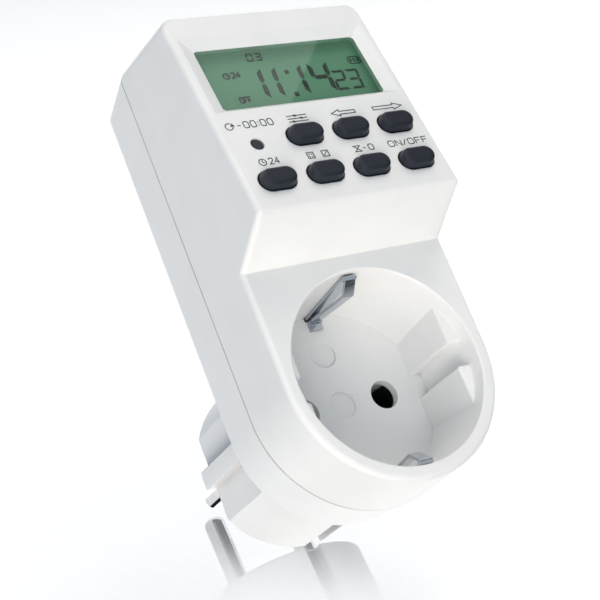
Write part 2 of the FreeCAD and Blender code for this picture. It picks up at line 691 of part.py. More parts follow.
def plug_body():
    """Round plug with side flats that carry a tongue each, and an earth notch above and below."""
    plug = rod(PLUG_RADIUS, 0, 0, BACK_Y - 0.5, 0)
    rim = [e for e in plug.Edges if abs(e.BoundBox.YMin) < 0.01 and e.BoundBox.YLength < 0.01]
    plug = plug.makeFillet(0.5, rim)
    cuts = []
    reach = PLUG_RADIUS + 1
    for side in (-1, 1):
        x0, x1 = sorted((side * PLUG_FLAT_X, side * reach))
        for z0, z1 in ((TONGUE_HEIGHT / 2, reach), (-reach, -TONGUE_HEIGHT / 2)):
            cuts.append(box(x0, x1, BACK_Y, 1, z0, z1))
        z0, z1 = sorted((side * EARTH_CONTACT_Z, side * reach))
        cuts.append(box(-EARTH_NOTCH_WIDTH / 2, EARTH_NOTCH_WIDTH / 2, BACK_Y, 1, z0, z1))
    return plug.cut(cuts)


def earth_contact_slots():
    """Slots that let the plug's earth contacts run from their notches into the case."""
    half = EARTH_CONTACT_WIDTH / 2 + 0.2
    slots = []
    for side in (-1, 1):
        z0, z1 = sorted((side * EARTH_CONTACT_Z, side * (EARTH_CONTACT_Z + EARTH_CONTACT_THICKNESS + 0.1)))
        slots.append(box(-half, half, BACK_INNER_Y - 1, BACK_Y + 0.1, z0, z1))
    return slots


def power_screw_places():
    """Centres of the four screws of the power board, as x and z."""
    inner = HALF_WIDTH - BACK_WALL
    low = (inner - POWER_SCREW_LOWER_INSET, POWER_BOARD_LOWER_EDGE + POWER_SCREW_EDGE)
    high = (inner - POWER_SCREW_UPPER_INSET, POWER_BOARD_UPPER_EDGE - POWER_SCREW_EDGE)
    return [(side * x, z) for side in (-1, 1) for x, z in (low, high)]


def back_cover():
    """Back half of the case with the plug body, the screw tubes and the board posts."""
    outer = back_form(PART_Y + SEAM_GAP, BACK_Y, SEAM_STEP)
    rear = [e for e in outer.Edges if e.BoundBox.YMin > BACK_Y - 0.01]
    outer = outer.makeFillet(EDGE_RADIUS, rear)
    inner = back_form(PART_Y, BACK_INNER_Y, BACK_WALL)
    shell = outer.cut(inner)
    parts = [shell, plug_body(), seam_lip()]
    cuts = []
    tube = CASE_SCREW_HEAD_DIAMETER / 2 + HEAD_CLEARANCE
    for x, z in CASE_SCREWS:
        column = rod(tube + CASE_TUBE_WALL, x, z, CASE_SCREW_SEAT_Y - 1.6, BACK_Y - 0.5)
        neck = rod(CASE_BOSS_DIAMETER / 2, x, z, PART_Y, BACK_Y - 0.5)
        parts.append(joined([column, neck]).common(back_form(PART_Y, BACK_Y - 0.5, BACK_WALL / 2)))
        cuts.append(rod(tube, x, z, CASE_SCREW_SEAT_Y, 1))
        cuts.append(rod(CASE_SCREW_DIAMETER / 2 + SCREW_CLEARANCE, x, z, PART_Y - 1, BACK_Y))
    for x, z in power_screw_places():
        parts.append(rod(SMALL_POST_DIAMETER / 2 + 0.4, x, z, POWER_BOARD_BACK, BACK_INNER_Y + 0.5))
        tip = POWER_BOARD_FRONT + SMALL_SCREW_LENGTH
        cuts.append(rod(SMALL_SCREW_DIAMETER / 2 + THREAD_CLEARANCE, x, z, POWER_BOARD_BACK - 0.1, tip + 0.2))
    cuts.append(rod(PLUG_INNER_RADIUS, 0, 0, BACK_INNER_Y - 0.1, -PLUG_FACE_WALL))
    for side in (-1, 1):
        cuts.append(rod(PIN_SEAT_DIAMETER / 2 + THREAD_CLEARANCE, side * PIN_X, 0, -PLUG_FACE_WALL - 1, 1))
        cuts.append(retainer_screw_hole(side))
    return joined(parts).cut(cuts + earth_contact_slots() + [label_recess()])


def label_recess():
    """Shallow bare recess on the back face, where a label would go."""
    half = HALF_WIDTH - LABEL_MARGIN
    low, high = PLUG_RADIUS + LABEL_MARGIN, UPPER_SCREW_Z - LABEL_TOP_MARGIN
    return box(-half, half, BACK_Y - LABEL_DEPTH, BACK_Y + 1, low, high)


def retainer_screw_hole(side):
    """Thread hole in the plug's face wall for one retainer screw."""
    tip = RETAINER_BACK_Y + SMALL_SCREW_LENGTH + 0.3
    radius = SMALL_SCREW_DIAMETER / 2 + THREAD_CLEARANCE
    return rod(radius, 0, side * RETAINER_SCREW_Z, -PLUG_FACE_WALL - 1, tip)


def plug_pin(side):
    """Round pin with a well rounded tip, a head inside the plug and a tail for its strip."""
    x = side * PIN_X
    straight = rod(PIN_DIAMETER / 2, x, 0, -1, PIN_LENGTH)
    straight = straight.makeFillet(PIN_TIP_RADIUS, [e for e in straight.Edges if e.BoundBox.YMin > 0])
    seat = rod(PIN_SEAT_DIAMETER / 2, x, 0, -PLUG_FACE_WALL - 0.5, 0)
    head = rod(PIN_HEAD_DIAMETER / 2, x, 0, HEAD_BACK_Y, -PLUG_FACE_WALL)
    tail_end = TERMINAL_Y - STRIP_THICKNESS / 2 - PIN_TAIL_STUB
    tail = rod(PIN_TAIL_DIAMETER / 2, x, 0, tail_end, HEAD_BACK_Y + 0.5)
    return joined([straight, seat, head, tail])


def pin_retainer():
    """Insulating disc that clamps the pin heads inside the plug."""
    disc = rod(PLUG_INNER_RADIUS - 0.2, 0, 0, RETAINER_BACK_Y, -PLUG_FACE_WALL)
    cuts = []
    for side in (-1, 1):
        x = side * PIN_X
        cuts.append(rod(PIN_HEAD_DIAMETER / 2 + 0.05, x, 0, HEAD_BACK_Y, 1))
        cuts.append(rod(PIN_TAIL_DIAMETER / 2 + 0.05, x, 0, RETAINER_BACK_Y - 1, 1))
        z = side * RETAINER_SCREW_Z
        cuts.append(rod(SMALL_SCREW_DIAMETER / 2 + SCREW_CLEARANCE, 0, z, RETAINER_BACK_Y - 1, 1))
    return disc.cut(cuts)


def retainer_screws():
    """Two screws that hold the retainer to the plug's face wall."""
    places = [side * RETAINER_SCREW_Z for side in (-1, 1)]
    return Part.makeCompound([small_screw(0, z, RETAINER_BACK_Y, 1) for z in places])


def small_screw(x, z, seat_y, direction):
    """Small board screw."""
    return screw(x, z, seat_y, direction, SMALL_SCREW_DIAMETER, SMALL_SCREW_LENGTH,
                 SMALL_SCREW_HEAD_DIAMETER, SMALL_SCREW_HEAD_HEIGHT)


def socket_contact(side):
    """Spring sleeve behind one pin hole: a base and two leaves that narrow to grip the pin."""
    x = side * PIN_X
    mouth_y = FLOOR_BACK_Y + CONTACT_FRONT_GAP
    grip_y = FLOOR_BACK_Y + CONTACT_GRIP_DEPTH
    base_y = CONTACT_BASE_Y + CONTACT_LEAF_THICKNESS / 2
    half_mouth = (CONTACT_MOUTH + CONTACT_LEAF_THICKNESS) / 2
    half_grip = (CONTACT_GRIP + CONTACT_LEAF_THICKNESS) / 2
    half_base = (PIN_DIAMETER + 0.8 + CONTACT_LEAF_THICKNESS) / 2
    path = [
        (x - half_mouth, mouth_y),
        (x - half_grip, grip_y),
        (x - half_base, base_y),
        (x + half_base, base_y),
        (x + half_grip, grip_y),
        (x + half_mouth, mouth_y),
    ]
    return strip_along_z(path, CONTACT_LEAF_THICKNESS, STRIP_BEND, 0, CONTACT_WIDTH)


def contact_carrier():
    """Insulating cradle behind the socket floor with a pocket round each spring sleeve."""
    half = carrier_half_length()
    tall = carrier_half_height()
    front = FLOOR_BACK_Y + TERMINAL_GAP
    body = box(-half, half, front, front + CARRIER_DEPTH, -tall, tall)
    ear = carrier_peg_x() + CARRIER_PEG_DIAMETER / 2 + CARRIER_EAR_MARGIN
    ear_back = front + CARRIER_EAR_THICKNESS
    body = joined([body, box(-ear, ear, front, ear_back, -CONTACT_WIDTH / 2, CONTACT_WIDTH / 2)])
    cuts = []
    pocket = CONTACT_MOUTH / 2 + CONTACT_LEAF_THICKNESS + CARRIER_CLEARANCE
    inner_tall = CONTACT_WIDTH / 2 + CARRIER_CLEARANCE
    for side in (-1, 1):
        x = side * PIN_X
        cuts.append(box(x - pocket, x + pocket, front - 1, front + CARRIER_DEPTH + 1,
                        -inner_tall, inner_tall))
        cuts.append(rod(CARRIER_PEG_DIAMETER / 2 + 0.05, side * carrier_peg_x(), 0, front - 1, ear_back + 1))
    groove = EARTH_BAR_WIDTH / 2 + 0.3
    cuts.append(box(-groove, groove, front - 1, front + EARTH_BAR_THICKNESS + 0.4, -tall - 1, tall + 1))
    return body.cut(cuts)


def strip_board_tab():
    """Path of a strip's upper end: behind the power board, then forward through its slot."""
    run_y = BACK_INNER_Y - STRIP_BOARD_GAP
    top_z = POWER_BOARD_LOWER_EDGE + STRIP_SLOT_HEIGHT
    return [(run_y, top_z), (POWER_BOARD_FRONT - LEAD_STUB, top_z)]


def strip_level():
    """Height at which a pin's strip leaves the plug: midway between the carrier and the plug's wall."""
    chord = math.sqrt(PLUG_INNER_RADIUS ** 2 - (PIN_X + STRIP_WIDTH / 2) ** 2)
    return (carrier_half_height() + chord) / 2


def pin_strip(side):
    """Strip from the tail of one pin up to the power board."""
    level = strip_level()
    run_y = strip_board_tab()[0][0]
    path = [(TERMINAL_Y, -STRIP_WIDTH / 2), (TERMINAL_Y, level), (run_y, level)] + strip_board_tab()
    strip = strip_along_x(path, STRIP_THICKNESS, STRIP_BEND, side * PIN_X, STRIP_WIDTH)
    hole = PIN_TAIL_DIAMETER / 2 + 0.05
    return strip.cut(rod(hole, side * PIN_X, 0, TERMINAL_Y - STRIP_THICKNESS, TERMINAL_Y + STRIP_THICKNESS))


def contact_foot_y():
    """Depth of the middle of a strip that lies on the base of a socket sleeve."""
    return CONTACT_BASE_Y + CONTACT_LEAF_THICKNESS + STRIP_THICKNESS / 2 + 0.02


def live_inlet_strip():
    """Strip from the live pin up to the power board."""
    return pin_strip(-1)


def narrow_strip_x():
    """Middle of the switched live strip, beside the live inlet strip."""
    return -PIN_X + STRIP_WIDTH / 2 + 0.8 + NARROW_STRIP_WIDTH / 2


def switched_live_strip():
    """Strip from the relay's output on the power board down to the live sleeve of the socket."""
    base_y = contact_foot_y()
    level = carrier_half_height() + NARROW_STRIP_GAP
    run_y = strip_board_tab()[0][0]
    x = narrow_strip_x()
    path = [(base_y, -STRIP_WIDTH / 2), (base_y, level), (run_y, level)] + strip_board_tab()
    riser = strip_along_x(path, STRIP_THICKNESS, STRIP_BEND, x, NARROW_STRIP_WIDTH)
    half = STRIP_THICKNESS / 2
    foot = box(-PIN_X - 2.6, x, base_y - half, base_y + half, -STRIP_WIDTH / 2, STRIP_WIDTH / 2)
    return joined([riser, foot])


def neutral_strip():
    """Strip from the neutral pin to the neutral sleeve and up to the power board."""
    base_y = contact_foot_y()
    half = STRIP_THICKNESS / 2
    x0, x1 = PIN_X - STRIP_WIDTH / 2, PIN_X + STRIP_WIDTH / 2
    drop = box(x0, x1, base_y - half, base_y + half, -STRIP_WIDTH / 2, strip_level())
    return joined([pin_strip(1), drop])


def earth_bar():
    """Flat bar behind the socket floor that joins the two earth springs."""
    half = EARTH_BAR_WIDTH / 2
    reach = spring_wall_height(FLOOR_Y) - EARTH_SPRING_THICKNESS / 2 - 0.4
    front = FLOOR_BACK_Y + EARTH_BAR_GAP
    bar = box(-half, half, front, front + EARTH_BAR_THICKNESS, -reach, reach)
    return bar.cut(rivet_holes())


def rivet_places():
    """Heights of the two earth rivets."""
    z = EARTH_CONTACT_Z - 2.0
    return (-z, z)


def rivet_holes():
    """Holes for the earth rivets through bar, spring and contact."""
    radius = RIVET_DIAMETER / 2 + THREAD_CLEARANCE
    return [rod(radius, 0, z, FLOOR_BACK_Y - 1, BACK_INNER_Y) for z in rivet_places()]


def earth_tail_y():
    """Depth of the middle of an earth spring's tail, on the back of the earth bar."""
    return FLOOR_BACK_Y + EARTH_BAR_GAP + EARTH_BAR_THICKNESS + EARTH_SPRING_THICKNESS / 2


def earth_spring(side):
    """Earth spring of the socket: up along the recess wall, folded at the rim, back as a bowed tongue."""
    fold_y = SOCKET_Y + EARTH_SPRING_FOLD_DEPTH
    nose_y = SOCKET_Y + EARTH_SPRING_NOSE_DEPTH
    rim_z = spring_wall_height(fold_y)
    floor_z = spring_wall_height(FLOOR_Y)
    foot_y = FLOOR_Y - EARTH_SPRING_THICKNESS / 2 - 0.1
    tail_end = EARTH_CONTACT_Z - EARTH_TAIL_LENGTH
    path = [
        (earth_tail_y(), tail_end),
        (earth_tail_y(), floor_z),
        (FLOOR_Y, floor_z),
        (fold_y, rim_z),
        (nose_y, rim_z - EARTH_SPRING_REACH),
        (foot_y - EARTH_FOOT_RISE, floor_z - EARTH_FOOT_RISE),
        (foot_y, floor_z - EARTH_FOOT_LENGTH / 2),
        (foot_y, floor_z - EARTH_FOOT_LENGTH),
    ]
    path = [(y, side * z) for y, z in path]
    spring = strip_along_x(path, EARTH_SPRING_THICKNESS, EARTH_SPRING_BEND, 0, EARTH_SPRING_WIDTH)
    z0, z1 = sorted((0, side * (rim_z - 1.5 * EARTH_SPRING_THICKNESS)))
    trims = []
    for edge in (-1, 1):
        x0, x1 = sorted((edge * EARTH_TONGUE_WIDTH / 2, edge * EARTH_SPRING_WIDTH))
        trims.append(box(x0, x1, SOCKET_Y, foot_y - EARTH_FOOT_RISE, z0, z1))
    return spring.cut(rivet_holes() + trims)


def plug_earth_contact(side):
    """Earth contact of the plug: a strip along its notch that runs through to the earth bar."""
    middle = EARTH_CONTACT_Z + EARTH_CONTACT_THICKNESS / 2
    foot_y = earth_tail_y() + (EARTH_SPRING_THICKNESS + EARTH_CONTACT_THICKNESS) / 2
    path = [(-EARTH_CONTACT_THICKNESS, middle), (foot_y, middle)]
    path.append((foot_y, EARTH_CONTACT_Z - EARTH_TAIL_LENGTH))
    path = [(y, side * z) for y, z in path]
    strip = strip_along_x(path, EARTH_CONTACT_THICKNESS, 0.5, 0, EARTH_CONTACT_WIDTH)
    return strip.cut(rivet_holes())


def earth_rivets():
    """Two rivets through bar, spring tail and plug contact."""
    front = FLOOR_BACK_Y + EARTH_BAR_GAP
    back = earth_tail_y() + EARTH_SPRING_THICKNESS / 2 + EARTH_CONTACT_THICKNESS
    rivets = []
    for z in rivet_places():
        shank = rod(RIVET_DIAMETER / 2, 0, z, front, back + 0.1)
        head = rod(RIVET_DIAMETER * 0.8, 0, z, back, back + 0.7)
        rivets.append(joined([shank, head]))
    return Part.makeCompound(rivets)


def case_screws():
    """Four case screws, heads sunk deep in the back cover."""
    screws = [screw(x, z, CASE_SCREW_SEAT_Y, -1, CASE_SCREW_DIAMETER, CASE_SCREW_LENGTH,
                    CASE_SCREW_HEAD_DIAMETER, CASE_SCREW_HEAD_HEIGHT) for x, z in CASE_SCREWS]
    return Part.makeCompound(screws)


def lcd_window():
    """Clear window: a flange behind the panel wall and a raised pane that fills the opening."""
    low, high = VIEW_LOW, VIEW_HIGH
    flange = plate(VIEW_HALF + WINDOW_FLANGE, low - WINDOW_FLANGE, high + WINDOW_FLANGE,
                   FLANGE_FRONT - WINDOW_FLANGE_THICKNESS, FLANGE_FRONT, VIEW_CORNER_RADIUS)
    gap = WINDOW_CLEARANCE
    pane = plate(VIEW_HALF - gap, low + gap, high - gap, FLANGE_FRONT - 0.2, -BEZEL_DEPTH, VIEW_CORNER_RADIUS)
    return on_panel(joined([flange, pane]))


def glass_bounds():
    """Half width and lower and upper edge of the display glass."""
    return VIEW_HALF + GLASS_BORDER_SIDE, VIEW_LOW - GLASS_BORDER_END, VIEW_HIGH + GLASS_BORDER_END


def lcd_panel():
    """Liquid crystal cell: two glass plates, the rear one a little taller than the front one."""
    half, low, high = glass_bounds()
    middle = (GLASS_FRONT + GLASS_BACK) / 2
    ledge = CONNECTOR_WIDTH
    rear = box(-half, half, low, high, GLASS_BACK, middle)
    front = box(-half, half, low + ledge * 0.5, high - ledge * 0.5, middle, GLASS_FRONT)
    return on_panel(joined([rear, front]))


def connector_bands():
    """Lower and upper edge of each of the two contact strips under the glass."""
    half, low, high = glass_bounds()
    return [(low + 0.2, low + 0.2 + CONNECTOR_WIDTH), (high - 0.2 - CONNECTOR_WIDTH, high - 0.2)]


def lcd_connector_strips():
    """Two elastomer contact strips between the glass and the control board."""
    half, low, high = glass_bounds()
    strips = [box(-half + 1, half - 1, a, b, BOARD_FRONT, GLASS_BACK) for a, b in connector_bands()]
    return on_panel(Part.makeCompound(strips))


def lcd_frame():
    """Frame that keeps the glass and its contact strips in place on the control board."""
    half, low, high = glass_bounds()
    grow = FRAME_CLEARANCE
    wall = FRAME_CLEARANCE + FRAME_WALL
    block = box(-half - wall, half + wall, low - wall, high + wall, BOARD_FRONT, GLASS_FRONT)
    pocket = box(-half - grow, half + grow, low - grow, high + grow, GLASS_BACK, GLASS_FRONT + 1)
    cuts = [pocket]
    for a, b in connector_bands():
        cuts.append(box(-half + 1 - grow, half - 1 + grow, a - 0.1, b + 0.1, BOARD_FRONT - 1, GLASS_BACK + 1))
    rib = CONNECTOR_WIDTH + 1.4
    cuts.append(box(-half + 2, half - 2, low + rib, high - rib, BOARD_FRONT - 1, GLASS_BACK - 0.6))
    return on_panel(block.cut(cuts))


def key_solid():
    """One key: rounded oval cap, two flanges behind the wall and a foot over the board."""
    stem = slot_shape(KEY_LENGTH, KEY_HEIGHT, KEY_FLANGE_BACK, 0)
    cap = key_cap()
    top = [e for e in cap.Edges if e.BoundBox.ZMin > KEY_PROUD - 0.01]
    cap = cap.makeFillet(KEY_EDGE_RADIUS, top)
    reach = KEY_HEIGHT / 2 + KEY_CLEARANCE + KEY_FLANGE
    half = KEY_LENGTH / 2 - KEY_FLANGE_SHORTER
    flange = box(-half, half, -reach, reach, KEY_FLANGE_BACK, KEY_FLANGE_FRONT)
    foot = slot_shape(KEY_FOOT_LENGTH, KEY_FOOT_HEIGHT, KEY_FOOT_END, KEY_FLANGE_BACK + 0.1)
    return joined([stem, cap, flange, foot])


def key_cap():
    """Part of a key above the panel: an oval with sides that draw in towards the top."""
    low, high = KEY_HEIGHT / 2, KEY_HEIGHT / 2 - KEY_TAPER
    straight = KEY_LENGTH / 2 - low
    ends = [Part.makeCone(low, high, KEY_PROUD, Vector(side * straight, 0, 0)) for side in (-1, 1)]
    profile = [Vector(-straight, -low, 0), Vector(-straight, low, 0)]
    profile += [Vector(-straight, high, KEY_PROUD), Vector(-straight, -high, KEY_PROUD)]
    middle = polygon_face(profile).extrude(Vector(2 * straight, 0, 0))
    return joined([middle] + ends)


def reset_button():
    """Small round reset button, just below the panel face."""
    x, y = RESET_PLACE
    foot_end = BOARD_FRONT + RESET_TRAVEL + KEY_STOP_GAP
    stem = peg(RESET_DIAMETER / 2, x, y, foot_end, -RESET_RECESS)
    flange = peg(RESET_FLANGE_DIAMETER / 2, x, y, KEY_FLANGE_BACK, KEY_FLANGE_FRONT)
    return on_panel(joined([stem, flange]))


def keypad_mat():
    """Silicone mat on the control board with a raised rim round each key's foot."""
    half = PANEL_INNER_HALF - 0.6
    low, high = BOARD_LOWER_EDGE + 0.4, SECOND_ROW + KEY_HEIGHT / 2 + 1.8
    mat = plate(half, low, high, BOARD_FRONT, MAT_FRONT, 1.0)
    rims, holes = [], []
    long_hole, high_hole = KEY_FOOT_LENGTH + 2 * MAT_CLEARANCE, KEY_FOOT_HEIGHT + 2 * MAT_CLEARANCE
    wide, tall = long_hole + 2 * MAT_RIM_WALL, high_hole + 2 * MAT_RIM_WALL
    for x, y in key_places():
        place = Vector(x, y, 0)
        rims.append(slot_shape(wide, tall, MAT_FRONT - 0.5, RIM_FRONT).translated(place))
        holes.append(slot_shape(long_hole, high_hole, BOARD_FRONT - 1, RIM_FRONT + 1).translated(place))
    x, y = RESET_PLACE
    holes.append(peg(RESET_DIAMETER / 2 + MAT_CLEARANCE, x, y, BOARD_FRONT - 1, RIM_FRONT + 1))
    for x, y in BOARD_SCREWS[:2]:
        holes.append(peg(SMALL_POST_DIAMETER / 2 + 0.2, x, y, BOARD_FRONT - 1, RIM_FRONT + 1))
    return on_panel(joined([mat] + rims).cut(holes))


def control_board():
    """Circuit board behind the panel that carries the display and the key contacts."""
    half = PANEL_INNER_HALF - BOARD_MARGIN
    board = plate(half, BOARD_LOWER_EDGE, PANEL_LENGTH - BOARD_UPPER_MARGIN, BOARD_BACK, BOARD_FRONT, 1.0)
    radius = SMALL_SCREW_DIAMETER / 2 + SCREW_CLEARANCE
    holes = [peg(radius, x, y, BOARD_BACK - 1, BOARD_FRONT + 1) for x, y in BOARD_SCREWS]
    return on_panel(board.cut(holes))


def control_board_screws():
    """Four screws that hold the control board to the posts of the front cover."""
    screws = []
    for x, y in BOARD_SCREWS:
        upright = small_screw(0, 0, 0, 1)
        upright.rotate(Vector(0, 0, 0), Vector(1, 0, 0), 90)
        screws.append(upright.translated(Vector(x, y, BOARD_BACK)))
    return on_panel(Part.makeCompound(screws))


def control_chip():
    """Processor under a low dome of black resin."""
    radius, height = CHIP_DOME_RADIUS, CHIP_DOME_HEIGHT
    ball = (radius ** 2 + height ** 2) / (2 * height)
    centre = Vector(2.0, VIEW_LOW + VIEW_HEIGHT / 2, BOARD_BACK - height + ball)
    dome = Part.makeSphere(ball, centre)
    slab = box(centre.x - radius, centre.x + radius, centre.y - radius, centre.y + radius,
               BOARD_BACK - 2 * height, BOARD_BACK)
    return on_panel(dome.common(slab))


CHIP_DOME_RADIUS = 6.0
CHIP_DOME_HEIGHT = 1.5
CRYSTAL_PLACE = (12.0, 24.0)
CRYSTAL_RADIUS = 1.0
CRYSTAL_LENGTH = 6.0
CRYSTAL_LEAD_RADIUS = 0.2
CRYSTAL_LEAD_PITCH = 0.8
CRYSTAL_LEAD_LENGTH = 1.9
CELL_PLACE = (-9.0, 27.0)
CELL_DIAMETER = 15.5
CELL_HEIGHT = 5.0
CELL_STANDOFF = 0.6
CELL_LID_HEIGHT = 0.8
CELL_LID_INSET = 1.2
CELL_TAB_WIDTH = 3.0
CELL_TAB_THICKNESS = 0.4


def crystal_can():
    """Clock crystal in a small metal can lying on the board."""
    x, y = CRYSTAL_PLACE
    z = BOARD_BACK - CRYSTAL_RADIUS
    up = Vector(0, 1, 0)
    parts = [Part.makeCylinder(CRYSTAL_RADIUS, CRYSTAL_LENGTH, Vector(x, y, z), up)]
    start = y - CRYSTAL_LEAD_LENGTH
    for side in (-1, 1):
        lead_x = x + side * CRYSTAL_LEAD_PITCH / 2
        foot = Vector(lead_x, start, z)
        parts.append(Part.makeCylinder(CRYSTAL_LEAD_RADIUS, CRYSTAL_LEAD_LENGTH + 0.1, foot, up))
        parts.append(peg(CRYSTAL_LEAD_RADIUS, lead_x, start, z, BOARD_BACK))
    return on_panel(joined(parts))


def cell_top():
    """Level of the cell's lid, below the board."""
    return BOARD_BACK - CELL_STANDOFF


def backup_cell():
    """Rechargeable button cell that keeps the clock going."""
    x, y = CELL_PLACE
    top = cell_top()
    radius = CELL_DIAMETER / 2
    can = peg(radius, x, y, top - CELL_HEIGHT, top - CELL_LID_HEIGHT)
    lid = peg(radius - CELL_LID_INSET, x, y, top - CELL_LID_HEIGHT - 0.1, top)
    edges = [e for e in can.Edges if e.BoundBox.ZLength < 0.01]
    return on_panel(joined([can.makeFillet(CELL_TAB_THICKNESS, edges), lid]))


def cell_tabs():
    """Two metal tabs welded to the cell and soldered to the board."""
    x, y = CELL_PLACE
    top = cell_top()
    half = CELL_TAB_WIDTH / 2
    thick = CELL_TAB_THICKNESS
    back = top - CELL_HEIGHT - thick / 2
    reach = y + CELL_DIAMETER / 2 + 4 * thick
    side_view = strip_face([(y, back), (reach, back), (reach, BOARD_BACK)], thick, 0.5,
                           lambda a, b: Vector(x - half, a, b))
    outer = side_view.extrude(Vector(CELL_TAB_WIDTH, 0, 0))
    start = y - CELL_DIAMETER / 2 - 2.0
    inner = box(x - half, x + half, start, y, top, top + thick)
    foot = box(x - half, x + half, start, start + 1.0, top + thick / 2, BOARD_BACK)
    return on_panel(Part.makeCompound([outer, joined([inner, foot])]))


def power_board():
    """Board on the back cover that carries the relay and the power supply."""
    half = HALF_WIDTH - BACK_WALL - BACK_TAPER - 0.6
    low, high = POWER_BOARD_LOWER_EDGE, POWER_BOARD_UPPER_EDGE
    board = box(-half, half, POWER_BOARD_FRONT, POWER_BOARD_BACK, low, high)
    cuts = []
    tube = CASE_SCREW_HEAD_DIAMETER / 2 + HEAD_CLEARANCE + CASE_TUBE_WALL + 0.3
    for x, z in CASE_SCREWS:
        cuts.append(rod(tube, x, z, POWER_BOARD_FRONT - 1, POWER_BOARD_BACK + 1))
        if z > LOWER_SCREW_HEIGHT:
            x0, x1 = sorted((x, math.copysign(half + 1, x)))
            cuts.append(box(x0, x1, POWER_BOARD_FRONT - 1, POWER_BOARD_BACK + 1, z - tube, high + 1))
            x0, x1 = sorted((x - math.copysign(tube, x), math.copysign(half + 1, x)))
            cuts.append(box(x0, x1, POWER_BOARD_FRONT - 1, POWER_BOARD_BACK + 1, z, high + 1))
    for x, z in power_screw_places():
        radius = SMALL_SCREW_DIAMETER / 2 + SCREW_CLEARANCE
        cuts.append(rod(radius, x, z, POWER_BOARD_FRONT - 1, POWER_BOARD_BACK + 1))
    top_z = strip_board_tab()[0][1]
    for x in (-PIN_X, PIN_X):
        cuts.append(strip_slot(x, top_z, STRIP_WIDTH))
    cuts.append(strip_slot(narrow_strip_x(), top_z, NARROW_STRIP_WIDTH))
    return board.cut(cuts + lead_holes())


def strip_slot(x, z, width):
    """Slot in the power board for the end of one strip."""
    half, tall = width / 2 + 0.2, STRIP_THICKNESS / 2 + 0.2
    return box(x - half, x + half, POWER_BOARD_FRONT - 1, POWER_BOARD_BACK + 1, z - tall, z + tall)


def power_board_screws():
    """Four screws that hold the power board to the back cover."""
    return Part.makeCompound([small_screw(x, z, POWER_BOARD_FRONT, 1) for x, z in power_screw_places()])


# Parts that stand on the power board, by place x and z
POWER_BOARD_MIDDLE = (POWER_BOARD_LOWER_EDGE + POWER_BOARD_UPPER_EDGE) / 2
RELAY_RISE = 5.0
RELAY_PLACE = (8.6, POWER_BOARD_MIDDLE + RELAY_RISE)
RELAY_WIDTH = 15.4
RELAY_LENGTH = 19.2
RELAY_HEIGHT = 15.4
RELAY_WALL = 0.7
RELAY_BASE = 1.6
RELAY_CORE_TOP = 11.4
RELAY_CORE_RADIUS = 1.7
RELAY_CORE_DROP = 1.2
RELAY_IRON_HALF = 4.0
RELAY_IRON_THICKNESS = 0.8
RELAY_IRON_BACK = 8.6
RELAY_IRON_FRONT = 3.5
RELAY_CAP_RADIUS = 2.8
RELAY_CAP_THICKNESS = 0.6
RELAY_FLANGE_RADIUS = 5.2
RELAY_FLANGE_THICKNESS = 0.7
RELAY_WINDING_RADIUS = 4.6
ARMATURE_TRAVEL = 4.0
ARMATURE_THICKNESS = 0.9
ARMATURE_HALF = 3.6
ARMATURE_LENGTH = 11.5
ARMATURE_AIR_GAP = 0.05
BLADE_HALF = 2.0
BLADE_THICKNESS = 0.3
BLADE_START = 4.0
BLADE_END = 15.4
BLADE_CONTACT_PLACE = 14.2
BLADE_RIVET_PLACE = 6.0
BLADE_RIVET_RADIUS = 0.8
CONTACT_RIVET_RADIUS = 1.3
CONTACT_RIVET_HEIGHT = 0.7
CONTACT_RIVET_GAP = 0.15
CONTACT_POST_THICKNESS = 0.5
DROPPER_RISE = 27.0
DROPPER_PLACE = (-9.2, POWER_BOARD_LOWER_EDGE + DROPPER_RISE)
DROPPER_WIDTH = 8.4
DROPPER_LENGTH = 18.0
DROPPER_HEIGHT = 15.2
DROPPER_LEAD_SPAN = 15.0
SMOOTHING_RISE = 12.0
SMOOTHING_PLACE = (-9.0, POWER_BOARD_LOWER_EDGE + SMOOTHING_RISE)
SMOOTHING_RADIUS = 4.0
SMOOTHING_HEIGHT = 11.5
SMOOTHING_LEAD_SPAN = 3.5
VARISTOR_RISE = 11.2
VARISTOR_PLACE = (13.5, POWER_BOARD_LOWER_EDGE + VARISTOR_RISE)
VARISTOR_RADIUS = 4.8
VARISTOR_THICKNESS = 3.8
VARISTOR_LEAD_SPAN = 7.5
RESISTOR_X = 2.5
RESISTOR_START = 9.0
RESISTOR_PITCH = 3.5
RESISTOR_LEVEL = POWER_BOARD_LOWER_EDGE + RESISTOR_START
RESISTOR_PLACES = [(RESISTOR_X, RESISTOR_LEVEL + i * RESISTOR_PITCH) for i in range(3)]
RESISTOR_RADIUS = 1.2
RESISTOR_LENGTH = 6.3
RESISTOR_SPAN = 10.0
LOWER_DIODE_DROP = 5.5
UPPER_DIODE_DROP = 2.9
DIODE_PLACES = [(-2.0, POWER_BOARD_UPPER_EDGE - LOWER_DIODE_DROP)]
DIODE_PLACES += [(2.5, POWER_BOARD_UPPER_EDGE - UPPER_DIODE_DROP)]
DIODE_RADIUS = 1.0
DIODE_LENGTH = 4.0
DIODE_SPAN = 7.5
TRANSISTOR_RISE = 12.0
TRANSISTOR_PLACE = (-16.2, POWER_BOARD_LOWER_EDGE + TRANSISTOR_RISE)
TRANSISTOR_RADIUS = 2.3
TRANSISTOR_LOW = 2.4
TRANSISTOR_HIGH = 7.0
TRANSISTOR_FLAT = 1.3
TRANSISTOR_LEAD_PITCH = 1.27
PART_STANDOFF = 0.2


def face_y(height):
    """Depth of a level that stands a height in front of the power board."""
    return POWER_BOARD_FRONT - height


